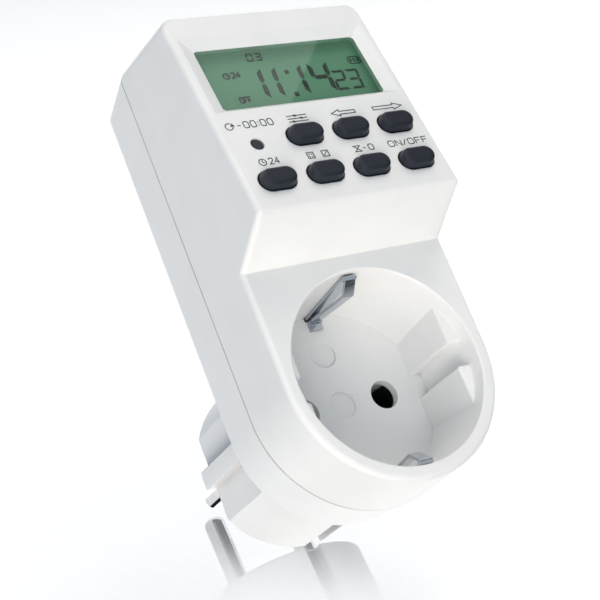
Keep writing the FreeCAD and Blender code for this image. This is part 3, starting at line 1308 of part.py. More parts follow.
def lead_places():
    """Centres of all wire leads that pass through the power board."""
    places = []
    for x, z in RESISTOR_PLACES:
        places += [(x - RESISTOR_SPAN / 2, z), (x + RESISTOR_SPAN / 2, z)]
    for x, z in DIODE_PLACES:
        places += [(x - DIODE_SPAN / 2, z), (x + DIODE_SPAN / 2, z)]
    x, z = DROPPER_PLACE
    places += [(x, z - DROPPER_LEAD_SPAN / 2), (x, z + DROPPER_LEAD_SPAN / 2)]
    x, z = SMOOTHING_PLACE
    places += [(x - SMOOTHING_LEAD_SPAN / 2, z), (x + SMOOTHING_LEAD_SPAN / 2, z)]
    x, z = VARISTOR_PLACE
    places += [(x, z - VARISTOR_LEAD_SPAN / 2), (x, z + VARISTOR_LEAD_SPAN / 2)]
    x, z = TRANSISTOR_PLACE
    places += [(x - TRANSISTOR_LEAD_PITCH, z), (x, z), (x + TRANSISTOR_LEAD_PITCH, z)]
    return places


def lead_holes():
    """Holes in the power board for the leads."""
    radius = LEAD_DIAMETER / 2 + SOLDER_CLEARANCE
    return [rod(radius, x, z, POWER_BOARD_FRONT - 1, POWER_BOARD_BACK + 1) for x, z in lead_places()]


def lead(x, z, height):
    """Wire lead from a height in front of the board to a stub behind it."""
    return rod(LEAD_DIAMETER / 2, x, z, face_y(height), POWER_BOARD_BACK + LEAD_STUB)


def axial_part(x, z, span, radius, length, height):
    """Small part lying along X with a bent lead at each end."""
    y = face_y(height)
    body = Part.makeCylinder(radius, length, Vector(x - length / 2, y, z), Vector(1, 0, 0))
    edges = [e for e in body.Edges if e.BoundBox.XLength < 0.01]
    body = body.makeFillet(radius * 0.35, edges)
    wire = Part.makeCylinder(LEAD_DIAMETER / 2, span, Vector(x - span / 2, y, z), Vector(1, 0, 0))
    legs = [lead(x + side * span / 2, z, height) for side in (-1, 1)]
    balls = [Part.makeSphere(LEAD_DIAMETER / 2, Vector(x + side * span / 2, y, z)) for side in (-1, 1)]
    return joined([body, wire] + legs + balls)


def resistors():
    """Three resistors of the power supply."""
    height = RESISTOR_RADIUS + PART_STANDOFF
    parts = [axial_part(x, z, RESISTOR_SPAN, RESISTOR_RADIUS, RESISTOR_LENGTH, height)
             for x, z in RESISTOR_PLACES]
    return Part.makeCompound(parts)


def diodes():
    """Rectifier diode and clamp diode."""
    height = DIODE_RADIUS + PART_STANDOFF
    parts = [axial_part(x, z, DIODE_SPAN, DIODE_RADIUS, DIODE_LENGTH, height) for x, z in DIODE_PLACES]
    return Part.makeCompound(parts)


def dropper_capacitor():
    """Film capacitor that drops the mains voltage."""
    x, z = DROPPER_PLACE
    wide, long_half = DROPPER_WIDTH / 2, DROPPER_LENGTH / 2
    low = face_y(PART_STANDOFF)
    body = box(x - wide, x + wide, face_y(DROPPER_HEIGHT), low, z - long_half, z + long_half)
    body = body.makeFillet(0.6, [e for e in body.Edges if e.BoundBox.YMax < low - 0.01])
    leads = [lead(x, z + side * DROPPER_LEAD_SPAN / 2, 1.0) for side in (-1, 1)]
    return joined([body] + leads)


def smoothing_capacitor():
    """Round electrolytic capacitor standing on the board, with its crimp groove."""
    x, z = SMOOTHING_PLACE
    radius = SMOOTHING_RADIUS
    can = rod(radius, x, z, face_y(SMOOTHING_HEIGHT), face_y(PART_STANDOFF))
    can = can.makeFillet(0.5, [e for e in can.Edges if e.BoundBox.YLength < 0.01])
    ring = Part.makeTorus(radius + 0.25, 0.6, Vector(x, face_y(1.8), z), Vector(0, 1, 0))
    leads = [lead(x + side * SMOOTHING_LEAD_SPAN / 2, z, 1.0) for side in (-1, 1)]
    return joined([can.cut(ring)] + leads)


def varistor():
    """Disc varistor across the mains, standing on its leads."""
    x, z = VARISTOR_PLACE
    half = VARISTOR_THICKNESS / 2
    centre_y = face_y(VARISTOR_RADIUS + 1.2)
    disc = Part.makeCylinder(VARISTOR_RADIUS, 2 * half, Vector(x - half, centre_y, z), Vector(1, 0, 0))
    disc = disc.makeFillet(half / 2, [e for e in disc.Edges if e.BoundBox.XLength < 0.01])
    leads = [lead(x, z + side * VARISTOR_LEAD_SPAN / 2, 3.6) for side in (-1, 1)]
    return joined([disc] + leads)


def transistor():
    """Small transistor that drives the relay coil."""
    x, z = TRANSISTOR_PLACE
    radius = TRANSISTOR_RADIUS
    body = rod(radius, x, z, face_y(TRANSISTOR_HIGH), face_y(TRANSISTOR_LOW))
    flat = box(x - radius, x + radius, face_y(TRANSISTOR_HIGH + 1), face_y(TRANSISTOR_LOW - 1),
               z + TRANSISTOR_FLAT, z + radius + 1)
    leads = [lead(x + place * TRANSISTOR_LEAD_PITCH, z, TRANSISTOR_LOW + 0.6) for place in (-1, 0, 1)]
    return joined([body.cut(flat)] + leads)


def relay_base():
    """Moulded base of the relay, seated on the power board."""
    x, z = RELAY_PLACE
    half, long_half = RELAY_WIDTH / 2, RELAY_LENGTH / 2
    return box(x - half, x + half, face_y(RELAY_BASE), face_y(0), z - long_half, z + long_half)


def relay_core():
    """Iron of the relay: a core through the coil, a foot under it and an upright yoke."""
    x, z = RELAY_PLACE
    x0, x1 = x - RELAY_IRON_HALF, x + RELAY_IRON_HALF
    base, top = face_y(RELAY_BASE), face_y(RELAY_CORE_TOP)
    rear = z - RELAY_IRON_BACK
    foot = box(x0, x1, base - RELAY_IRON_THICKNESS, base, rear, z + RELAY_IRON_FRONT)
    yoke = box(x0, x1, top, base, rear, rear + RELAY_IRON_THICKNESS)
    centre = z - RELAY_CORE_DROP
    core = rod(RELAY_CORE_RADIUS, x, centre, top, base - 0.4)
    cap = rod(RELAY_CAP_RADIUS, x, centre, top, top + RELAY_CAP_THICKNESS)
    return joined([foot, yoke, core, cap])


def relay_coil():
    """Bobbin with its winding, a stack of flange, winding and flange."""
    x, z = RELAY_PLACE
    z -= RELAY_CORE_DROP
    low = face_y(RELAY_BASE + RELAY_IRON_THICKNESS + 0.1)
    high = face_y(RELAY_CORE_TOP - RELAY_CAP_THICKNESS - 0.1)
    thick = RELAY_FLANGE_THICKNESS
    flanges = [rod(RELAY_FLANGE_RADIUS, x, z, y, y + thick) for y in (low - thick, high)]
    winding = rod(RELAY_WINDING_RADIUS, x, z, high + thick / 2, low - thick / 2)
    bobbin = joined(flanges + [winding])
    return bobbin.cut(rod(RELAY_CORE_RADIUS + 0.05, x, z, high - 1, low + 1))


def armature_pivot():
    """Point on the armature's hinge line, at the top of the yoke, as y and z."""
    rear = RELAY_PLACE[1] - RELAY_IRON_BACK
    return face_y(RELAY_CORE_TOP + ARMATURE_AIR_GAP), rear + 0.5


def armature_top():
    """Depth of the armature's far face when it lies closed."""
    return armature_pivot()[0] - ARMATURE_AIR_GAP - ARMATURE_THICKNESS


def tilted_open(shape):
    """Turn a shape drawn in the closed position to the relay's open position."""
    y, z = armature_pivot()
    turned = shape.copy()
    turned.rotate(Vector(0, y, z), Vector(1, 0, 0), ARMATURE_TRAVEL)
    return turned


def relay_armature():
    """Iron plate hinged on the yoke, held open by its spring."""
    x = RELAY_PLACE[0]
    z = armature_pivot()[1]
    top = armature_top()
    return tilted_open(box(x - ARMATURE_HALF, x + ARMATURE_HALF, top, top + ARMATURE_THICKNESS,
                           z - 0.4, z + ARMATURE_LENGTH))


def relay_blade():
    """Leaf riveted on the armature that carries the moving contact."""
    x = RELAY_PLACE[0]
    z = armature_pivot()[1]
    top = armature_top()
    leaf = box(x - BLADE_HALF, x + BLADE_HALF, top - BLADE_THICKNESS, top, z + BLADE_START, z + BLADE_END)
    contact = rod(CONTACT_RIVET_RADIUS, x, z + BLADE_CONTACT_PLACE, top - 0.1, top + CONTACT_RIVET_HEIGHT)
    rivet = rod(BLADE_RIVET_RADIUS, x, z + BLADE_RIVET_PLACE, top - 0.7, top - 0.2)
    return tilted_open(joined([leaf, contact, rivet]))


def relay_contacts():
    """Fixed contact post under the moving contact, with its rivet."""
    x = RELAY_PLACE[0]
    z = armature_pivot()[1] + BLADE_CONTACT_PLACE
    top = armature_top() + CONTACT_RIVET_HEIGHT + CONTACT_RIVET_GAP
    plate_y = top + CONTACT_RIVET_HEIGHT
    far = z + BLADE_HALF + 0.4
    near = z - CONTACT_RIVET_RADIUS - 0.3
    post = box(x - BLADE_HALF, x + BLADE_HALF, plate_y, plate_y + CONTACT_POST_THICKNESS, near, far)
    leg = box(x - BLADE_HALF, x + BLADE_HALF, plate_y, face_y(RELAY_BASE), far - CONTACT_POST_THICKNESS, far)
    rivet = rod(CONTACT_RIVET_RADIUS, x, z, top, plate_y + 0.1)
    return joined([post, leg, rivet])


def relay_cover():
    """Plastic cover over the relay's works."""
    x, z = RELAY_PLACE
    half, long_half = RELAY_WIDTH / 2, RELAY_LENGTH / 2
    outer = box(x - half, x + half, face_y(RELAY_HEIGHT), face_y(RELAY_BASE), z - long_half, z + long_half)
    outer = outer.makeFillet(0.5, [e for e in outer.Edges if e.BoundBox.YMax < face_y(RELAY_BASE) - 0.01])
    wall = RELAY_WALL
    inner = box(x - half + wall, x + half - wall, face_y(RELAY_HEIGHT - wall), face_y(RELAY_BASE) + 1,
                z - long_half + wall, z + long_half - wall)
    return outer.cut(inner)


RIBBON_HEIGHT = 6.0
RIBBON_WIDTH = 10.0
RIBBON_X = -1.0
RIBBON_THICKNESS = 0.8
HEADER_HEIGHT = 2.5
HEADER_HALF = 1.6
HEADER_GAP = 0.3
HEADER_PLACE = 5.5
RIBBON_LOOP = 5.0
RIBBON_RISE = 4.0
RIBBON_BEND = 2.5


def ribbon_ends():
    """Where the ribbon meets the headers: behind the control board and in front of the power board."""
    start = PANEL_PLACE.multVec(Vector(0, RIBBON_HEIGHT, BOARD_BACK - HEADER_HEIGHT - HEADER_GAP))
    end_z = POWER_BOARD_LOWER_EDGE + HEADER_PLACE
    return (start.y, start.z), (face_y(HEADER_HEIGHT + 0.1), end_z)


def ribbon_cable():
    """Flat cable that joins the two boards, with a loop of slack."""
    (y0, z0), (y1, z1) = ribbon_ends()
    middle = ((y0 + y1) / 2, z0 + RIBBON_RISE)
    path = [(y0, z0), (y0 + RIBBON_LOOP, z0 + RIBBON_RISE / 4), middle]
    path += [(y1 - RIBBON_LOOP, z1 + RIBBON_RISE / 4), (y1, z1)]
    return strip_along_x(path, RIBBON_THICKNESS, RIBBON_BEND, RIBBON_X, RIBBON_WIDTH)


def board_headers():
    """Connector at each end of the ribbon."""
    half = RIBBON_WIDTH / 2 + 0.8
    x0, x1 = RIBBON_X - half, RIBBON_X + half
    low = on_panel(box(x0, x1, RIBBON_HEIGHT - HEADER_HALF, RIBBON_HEIGHT + HEADER_HALF,
                       BOARD_BACK - HEADER_HEIGHT, BOARD_BACK))
    end_z = ribbon_ends()[1][1]
    high = box(x0, x1, face_y(HEADER_HEIGHT), face_y(0), end_z - HEADER_HALF, end_z + HEADER_HALF)
    return Part.makeCompound([low, high])


def all_nodes():
    """Every sub-part by its name."""
    nodes = {
        "front_cover": front_cover(),
        "back_cover": back_cover(),
        "case_screws": case_screws(),
        "lcd_window": lcd_window(),
        "lcd_panel": lcd_panel(),
        "lcd_frame": lcd_frame(),
        "lcd_connector_strips": lcd_connector_strips(),
        "keypad_mat": keypad_mat(),
        "reset_button": reset_button(),
        "control_board": control_board(),
        "control_board_screws": control_board_screws(),
        "control_chip": control_chip(),
        "crystal_can": crystal_can(),
        "backup_cell": backup_cell(),
        "cell_tabs": cell_tabs(),
        "ribbon_cable": ribbon_cable(),
        "board_headers": board_headers(),
        "power_board": power_board(),
        "power_board_screws": power_board_screws(),
        "relay_base": relay_base(),
        "relay_core": relay_core(),
        "relay_coil": relay_coil(),
        "relay_armature": relay_armature(),
        "relay_blade": relay_blade(),
        "relay_contacts": relay_contacts(),
        "relay_cover": relay_cover(),
        "dropper_capacitor": dropper_capacitor(),
        "smoothing_capacitor": smoothing_capacitor(),
        "varistor": varistor(),
        "resistors": resistors(),
        "diodes": diodes(),
        "transistor": transistor(),
        "live_pin": plug_pin(-1),
        "neutral_pin": plug_pin(1),
        "pin_retainer": pin_retainer(),
        "retainer_screws": retainer_screws(),
        "live_inlet_strip": live_inlet_strip(),
        "switched_live_strip": switched_live_strip(),
        "neutral_strip": neutral_strip(),
        "live_socket_contact": socket_contact(-1),
        "neutral_socket_contact": socket_contact(1),
        "contact_carrier": contact_carrier(),
        "earth_bar": earth_bar(),
        "earth_spring_upper": earth_spring(1),
        "earth_spring_lower": earth_spring(-1),
        "plug_earth_contact_upper": plug_earth_contact(1),
        "plug_earth_contact_lower": plug_earth_contact(-1),
        "earth_rivets": earth_rivets(),
    }
    for name, (x, y) in zip(KEY_NAMES, key_places()):
        nodes[name] = on_panel(key_solid().translated(Vector(x, y, 0)))
    return nodes


def main():
    """Write one file for each sub-part."""
    os.makedirs("parts", exist_ok=True)
    for name, shape in all_nodes().items():
        shape.exportStep(f"parts/{name}.step")


if __name__ == "__main__":
    main()
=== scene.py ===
import math

import bmesh
import bpy
from bpy.props import FloatProperty, FloatVectorProperty, PointerProperty, StringProperty
from mathutils import Matrix, Vector


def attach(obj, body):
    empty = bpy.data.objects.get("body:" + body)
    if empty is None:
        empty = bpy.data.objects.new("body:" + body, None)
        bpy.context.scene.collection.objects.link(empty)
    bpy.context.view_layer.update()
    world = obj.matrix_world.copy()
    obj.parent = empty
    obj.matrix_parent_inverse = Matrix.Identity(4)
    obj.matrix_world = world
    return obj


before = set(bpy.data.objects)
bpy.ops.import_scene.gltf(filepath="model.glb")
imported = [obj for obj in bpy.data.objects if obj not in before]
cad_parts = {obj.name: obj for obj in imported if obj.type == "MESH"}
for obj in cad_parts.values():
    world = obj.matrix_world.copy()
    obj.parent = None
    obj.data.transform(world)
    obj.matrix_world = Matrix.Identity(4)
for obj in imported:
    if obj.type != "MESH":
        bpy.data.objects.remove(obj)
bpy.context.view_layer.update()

bl_info = {
    "name": "Plug-in timer switch",
    "version": (1, 0, 0),
    "blender": (4, 5, 0),
    "location": "3D View > Sidebar > Timer Switch",
    "description": "Finishes, display, key symbols and studio for a digital plug-in timer switch",
    "category": "Object",
}

MM = 0.001


# Colours and places

def level(value):
    """One 0-255 screen level as a linear colour value."""
    share = value / 255
    return share / 12.92 if share <= 0.04045 else ((share + 0.055) / 1.055) ** 2.4


def tone(red, green, blue):
    """A screen colour as a linear colour."""
    return (level(red), level(green), level(blue))


# The sloping control panel: its origin is at its lower edge, across runs to the right, along up the
# panel, and out of the panel is away from the case.
PANEL_ORIGIN = Vector((0, -0.0671, 0.0292))
PANEL_UP = Vector((0, 0.161604, 0.986856))
PANEL_OUT = Vector((0, -0.986856, 0.161604))
# The front of the display cell and the foot of the printing, in mm out of the panel, and how thick the
# display's film and the ink are
GLASS_DEPTH = -3.2
FILM = 0.03
PRINT_FOOT = 0.0
PRINT = 0.02


def on_panel(across, along, out):
    """A point of the panel's own frame, given in mm, as a point of the row frame in metres."""
    return PANEL_ORIGIN + Vector((across * MM, 0, 0)) + PANEL_UP * (along * MM) + PANEL_OUT * (out * MM)


# Materials

def finish(name, colour, roughness, **sockets):
    """A new material whose surface shader has these plain values."""
    material = bpy.data.materials.new(name)
    material.use_nodes = True
    shader = material.node_tree.nodes["Principled BSDF"]
    shader.inputs["Base Color"].default_value = (*colour, 1)
    shader.inputs["Roughness"].default_value = roughness
    for socket, value in sockets.items():
        shader.inputs[socket.replace("_", " ")].default_value = value
    material.diffuse_color = (*colour, 1)
    return material


def node(material, kind, **values):
    """A new node of the material, with its input sockets or its own settings given by name."""
    made = material.node_tree.nodes.new(kind)
    for name, value in values.items():
        socket = made.inputs.get(name.replace("_", " "))
        if socket is not None:
            socket.default_value = value
        else:
            setattr(made, name, value)
    return made


def join(material, source, target):
    """Links an output socket to an input socket."""
    material.node_tree.links.new(source, target)


def surface(material):
    """The material's surface shader."""
    return material.node_tree.nodes["Principled BSDF"]


def calc(material, operation, *values):
    """The result of a calculation with sockets and plain numbers."""
    made = node(material, "ShaderNodeMath", operation=operation)
    for socket, value in zip(made.inputs, values):
        if isinstance(value, float):
            socket.default_value = value
        else:
            join(material, value, socket)
    return made.outputs["Value"]


def reach_along(material, source, way):
    """How far a vector reaches along a fixed way."""
    made = node(material, "ShaderNodeVectorMath", operation="DOT_PRODUCT")
    join(material, source, made.inputs[0])
    made.inputs[1].default_value = way
    return made.outputs["Value"]


def ranged(material, factor, start, stop, low, high, **settings):
    """The factor's run from start to stop, as a run from low to high."""
    made = node(material, "ShaderNodeMapRange", From_Min=start, From_Max=stop, To_Min=low, To_Max=high,
                **settings)
    join(material, factor, made.inputs["Value"])
    return made.outputs["Result"]


def blend(material, share, first, second):
    """The first shader, giving way to the second as the share grows."""
    made = node(material, "ShaderNodeMixShader")
    for socket, source in zip(made.inputs, (share, first, second)):
        join(material, source, socket)
    return made.outputs["Shader"]


def mixed(colour, other, share):
    """The colour, with this share of the way gone to the other."""
    return tuple(a + (b - a) * share for a, b in zip(colour, other))


def place(material, stretch=(1, 1, 1)):
    """The surface's own coordinates, stretched along the axes."""
    where = node(material, "ShaderNodeTexCoord")
    scaled = node(material, "ShaderNodeMapping", Scale=stretch)
    join(material, where.outputs["Object"], scaled.inputs["Vector"])
    return scaled.outputs["Vector"]


# Where most of a noise's values lie
NOISE_SPREAD = (0.3, 0.7)


def cloud(material, size, stretch=(1, 1, 1), detail=3.0, roughness=0.55):
    """Noise whose features are about this size, in metres."""
    noise = node(material, "ShaderNodeTexNoise", Scale=1 / size, Detail=detail, Roughness=roughness)
    join(material, place(material, stretch), noise.inputs["Vector"])
    return noise.outputs["Fac"]


def vary_colour(material, factor, low, high, start=0.35, stop=0.65):
    """The base colour runs between two colours as the factor does."""
    ramp = node(material, "ShaderNodeValToRGB")
    ramp.color_ramp.elements[0].position = start
    ramp.color_ramp.elements[1].position = stop
    ramp.color_ramp.elements[0].color = (*low, 1)
    ramp.color_ramp.elements[1].color = (*high, 1)
    join(material, factor, ramp.inputs["Fac"])
    join(material, ramp.outputs["Color"], surface(material).inputs["Base Color"])
    return ramp


def vary_gloss(material, factor, low, high):
    """The roughness runs between two values as the factor does."""
    start, stop = NOISE_SPREAD
    shine = ranged(material, factor, start, stop, low, high)
    join(material, shine, surface(material).inputs["Roughness"])


def relief(material, factor, depth, soften=0.0):
    """The surface rises and falls with the factor, and its edges look rounded; both sizes in metres."""
    bump = node(material, "ShaderNodeBump", Distance=depth, Strength=1.0)
    join(material, factor, bump.inputs["Height"])
    if soften:
        edge = node(material, "ShaderNodeBevel", Radius=soften, samples=6)
        join(material, edge.outputs["Normal"], bump.inputs["Normal"])
    join(material, bump.outputs["Normal"], surface(material).inputs["Normal"])


def shade_crevices(material, reach, darkest, closed=0.08, clear=0.45):
    """Gaps and inner corners of this reach, in metres, hold little light: the colour is darkest where
    the share of open air is closed or less, and unchanged where it is clear or more."""
    colour = surface(material).inputs["Base Color"]
    open_air = node(material, "ShaderNodeAmbientOcclusion", Distance=reach, samples=8)
    share = ranged(material, open_air.outputs["AO"], closed, clear, darkest, 1.0)
    darkened = node(material, "ShaderNodeVectorMath", operation="SCALE")
    join(material, colour.links[0].from_socket, darkened.inputs[0])
    join(material, share, darkened.inputs["Scale"])
    join(material, darkened.outputs["Vector"], colour)


def moulded(name, colour, roughness=0.38, grain=0.00035, depth=0.000004, variation=0.03, soften=0.0):
    """Injection-moulded plastic: an even colour with a faint flow, and a fine spark-eroded grain."""
    material = finish(name, colour, roughness)
    flow = cloud(material, 0.012, detail=2.0)
    vary_colour(material, flow, mixed(colour, (0, 0, 0), variation), colour)
    fine = cloud(material, grain, detail=2.0)
    vary_gloss(material, fine, roughness * 0.88, roughness * 1.12)
    relief(material, fine, depth, soften=soften)
    return material


def plated(name, colour, roughness=0.16, grain=0.0004, depth=0.000003, stretch=(1, 1, 1), soften=0.0):
    """Plated or rolled metal: a mirror with fine drawn lines and a slightly uneven shine."""
    material = finish(name, colour, roughness, Metallic=1.0)
    lines = cloud(material, grain, stretch=stretch, detail=4.0)
    patches = cloud(material, 0.003, detail=2.0)
    vary_colour(material, patches, mixed(colour, (0, 0, 0), 0.12), colour)
    vary_gloss(material, lines, roughness * 0.7, roughness * 1.4)
    relief(material, lines, depth, soften=soften)
    return material


def waves(material, pitch, axis, **settings):
    """Bands across an axis, this far apart in metres."""
    made = node(material, "ShaderNodeTexWave", Scale=1 / pitch / math.tau, bands_direction=axis,
                **settings)
    join(material, place(material), made.inputs["Vector"])
    return made.outputs["Fac"]


def inked(name, colour, roughness, flow, lighter, depth=0.0):
    """Ink or film: an even colour that is a little lighter in places."""
    ink = finish(name, colour, roughness)
    vary_colour(ink, cloud(ink, flow), colour, mixed(colour, (1, 1, 1), lighter))
    if depth:
        relief(ink, cloud(ink, 0.0002), depth)
    return ink


def laminate(name, colour, weave=0.0006):
    """Board laminate: a woven glass cloth under coloured solder resist."""
    material = finish(name, colour, 0.32, Coat_Weight=0.4, Coat_Roughness=0.15)
    warp = waves(material, weave, "X", Distortion=0.4)
    weft = waves(material, weave, "Z", Distortion=0.4)
    cloth = calc(material, "MULTIPLY", warp, weft)
    vary_colour(material, cloth, mixed(colour, (0, 0, 0), 0.25), colour, 0.0, 1.0)
    relief(material, cloth, 0.00001)
    return material


def wound(name, colour, pitch=0.00022):
    """A winding of enamelled wire, its turns stacked up the bobbin."""
    material = finish(name, colour, 0.25, Metallic=1.0, Coat_Weight=0.6, Coat_Roughness=0.1)
    turns = waves(material, pitch, "Z", Distortion=0.3)
    vary_colour(material, turns, mixed(colour, (0, 0, 0), 0.55), colour, 0.0, 0.7)
    relief(material, turns, 0.00006)
    return material


def banded(name, body, bands, pitch):
    """A lacquered body with coloured rings round it."""
    material = finish(name, body, 0.3, Coat_Weight=0.5, Coat_Roughness=0.12)
    rings = waves(material, pitch, "X", wave_profile="SAW")
    ramp = vary_colour(material, rings, body, body, 0.0, 1.0)
    ramp.color_ramp.interpolation = "CONSTANT"
    for start, colour in bands:
        stop = ramp.color_ramp.elements.new(start)
        stop.color = (*colour, 1)
    relief(material, cloud(material, 0.0008), 0.00001)
    return material


def dress(material, *nodes):
    """Gives CAD nodes this material, in every slot they have."""
    for name in nodes:
        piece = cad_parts[name]
        for slot in piece.material_slots:
            slot.material = material
        if not piece.material_slots:
            piece.data.materials.append(material)


# Mesh helpers

def piece_from(name, mesh, material, body):
    """A finished bmesh as a scene object with its material, riding on a body."""
    bmesh.ops.recalc_face_normals(mesh, faces=mesh.faces)
    data = bpy.data.meshes.new(name)
    mesh.to_mesh(data)
    mesh.free()
    data.materials.append(material)
    made = bpy.data.objects.new(name, data)
    bpy.context.scene.collection.objects.link(made)
    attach(made, body)


def raised(mesh, outline, foot, thickness):
    """A flat form on the panel with this outline, in mm, from foot up by its thickness."""
    low = [mesh.verts.new(on_panel(across, along, foot)) for across, along in outline]
    high = [mesh.verts.new(on_panel(across, along, foot + thickness)) for across, along in outline]
    mesh.faces.new(high)
    mesh.faces.new(list(reversed(low)))
    count = len(outline)
    for index in range(count):
        after = (index + 1) % count
        mesh.faces.new((low[index], low[after], high[after], high[index]))


def line(points, width, closed=False):
    """The two edges of a line of this width through the points, with mitred corners."""
    count = len(points)
    left, right = [], []
    for index, point in enumerate(points):
        here = Vector(point)
        before = Vector(points[index - 1]) if closed or index > 0 else None
        after = Vector(points[(index + 1) % count]) if closed or index < count - 1 else None
        way_in = (here - before).normalized() if before is not None else None
        way_out = (after - here).normalized() if after is not None else None
        way = ((way_in or way_out) + (way_out or way_in)).normalized()
        side = Vector((-way.y, way.x))
        straight = Vector((-(way_in or way_out).y, (way_in or way_out).x))
        reach = width / 2 / max(side.dot(straight), 0.4)
        left.append(here + side * reach)
        right.append(here - side * reach)
    return left, right


def drawn(mesh, points, width, foot, thickness, closed=False):
    """A line of ink or film on the panel through the points, in mm."""
    left, right = line(points, width, closed)
    count = len(points)
    rows = [[mesh.verts.new(on_panel(at.x, at.y, height)) for at in edge]
            for edge, height in ((left, foot), (right, foot),
                                 (right, foot + thickness), (left, foot + thickness))]
    spans = range(count if closed else count - 1)
    for index in spans:
        after = (index + 1) % count
        for lower, upper in ((0, 1), (1, 2), (2, 3), (3, 0)):
            mesh.faces.new((rows[lower][index], rows[lower][after],
                            rows[upper][after], rows[upper][index]))
    if not closed:
        mesh.faces.new([row[0] for row in rows])
        mesh.faces.new([row[-1] for row in reversed(rows)])


def arc(centre, radius, start, stop, count=16):
    """Points along an arc, its angles in degrees."""
    return [(centre[0] + radius * math.cos(math.radians(start + (stop - start) * step / count)),
             centre[1] + radius * math.sin(math.radians(start + (stop - start) * step / count)))
            for step in range(count + 1)]


def moved(points, x, y):
    """The points, moved by x and y."""
    return [(x + across, y + along) for across, along in points]


# What a user may change

class TimerCaseSettings(bpy.types.PropertyGroup):
    front: FloatVectorProperty(
        name="Front shell", description="Colour of the front shell", subtype="COLOR", size=3,
        default=tone(244, 244, 243), min=0, max=1)
    back: FloatVectorProperty(
        name="Back shell", description="Colour of the back shell", subtype="COLOR", size=3,
        default=tone(243, 243, 243), min=0, max=1)
    roughness: FloatProperty(
        name="Roughness", description="Roughness of the moulded shells", subtype="FACTOR",
        default=0.34, min=0, max=1)


class TimerDisplaySettings(bpy.types.PropertyGroup):
    glass: FloatVectorProperty(
        name="Display", description="Colour of the unlit display", subtype="COLOR", size=3,
        default=tone(79, 117, 94), min=0, max=1)
    ink: FloatVectorProperty(
        name="Segments", description="Colour of the lit segments", subtype="COLOR", size=3,
        default=tone(2, 30, 20), min=0, max=1)
    hours: StringProperty(name="Hours", description="Two digits of the hours", default="11")
    minutes: StringProperty(name="Minutes", description="Two digits of the minutes", default="14")
    seconds: StringProperty(name="Seconds", description="Two digits of the seconds", default="23")
    day: StringProperty(name="Day", description="Two digits for the day of the week", default="03")


class TimerKeySettings(bpy.types.PropertyGroup):
    keys: FloatVectorProperty(
        name="Keys", description="Colour of the keys", subtype="COLOR", size=3,
        default=tone(22, 28, 40), min=0, max=1)
    ink: FloatVectorProperty(
        name="Printing", description="Colour of the printed symbols", subtype="COLOR", size=3,
        default=tone(58, 60, 64), min=0, max=1)
    stroke: FloatProperty(
        name="Stroke", description="Width of the printed lines, in millimetres",
        default=0.22, min=0.1, max=1)


class TimerStageSettings(bpy.types.PropertyGroup):
    brightness: FloatProperty(
        name="Lamps", description="Strength of all lamps together", default=1.0, min=0)
    surround: FloatProperty(
        name="Surround", description="Strength of the even light from all round", default=0.3, min=0)
    mirror: FloatProperty(
        name="Floor gloss", description="How strongly the floor mirrors the case where it stands",
        subtype="FACTOR", default=0.77, min=0, max=1)


# Finishes

class TIMER_OT_finish_case(bpy.types.Operator):
    """Moulded white shells, their screws and the case's own plastic"""
    bl_idname = "timer.finish_case"
    bl_label = "Finish the case"

    def execute(self, context):
        settings = context.scene.timer_case
        for name, colour, shell in (("case_front_white", settings.front, "front_cover"),
                                    ("case_back_white", settings.back, "back_cover")):
            white = moulded(name, tuple(colour), settings.roughness, soften=0.0003)
            # painted shade in the parting groove and the other gaps and inner corners of both shells
            shade_crevices(white, 0.0015, 0.35)
            if shell == "back_cover":
                # painted shade: over a wide reach, the back shell and its plug are darkened where the
                # case overhangs them
                shade_crevices(white, 0.02, 0.65, closed=0.35, clear=0.95)
            dress(white, shell)
        dress(plated("zinc_screws", tone(176, 178, 180), 0.3), "case_screws", "control_board_screws",
              "power_board_screws", "retainer_screws")
        return {"FINISHED"}


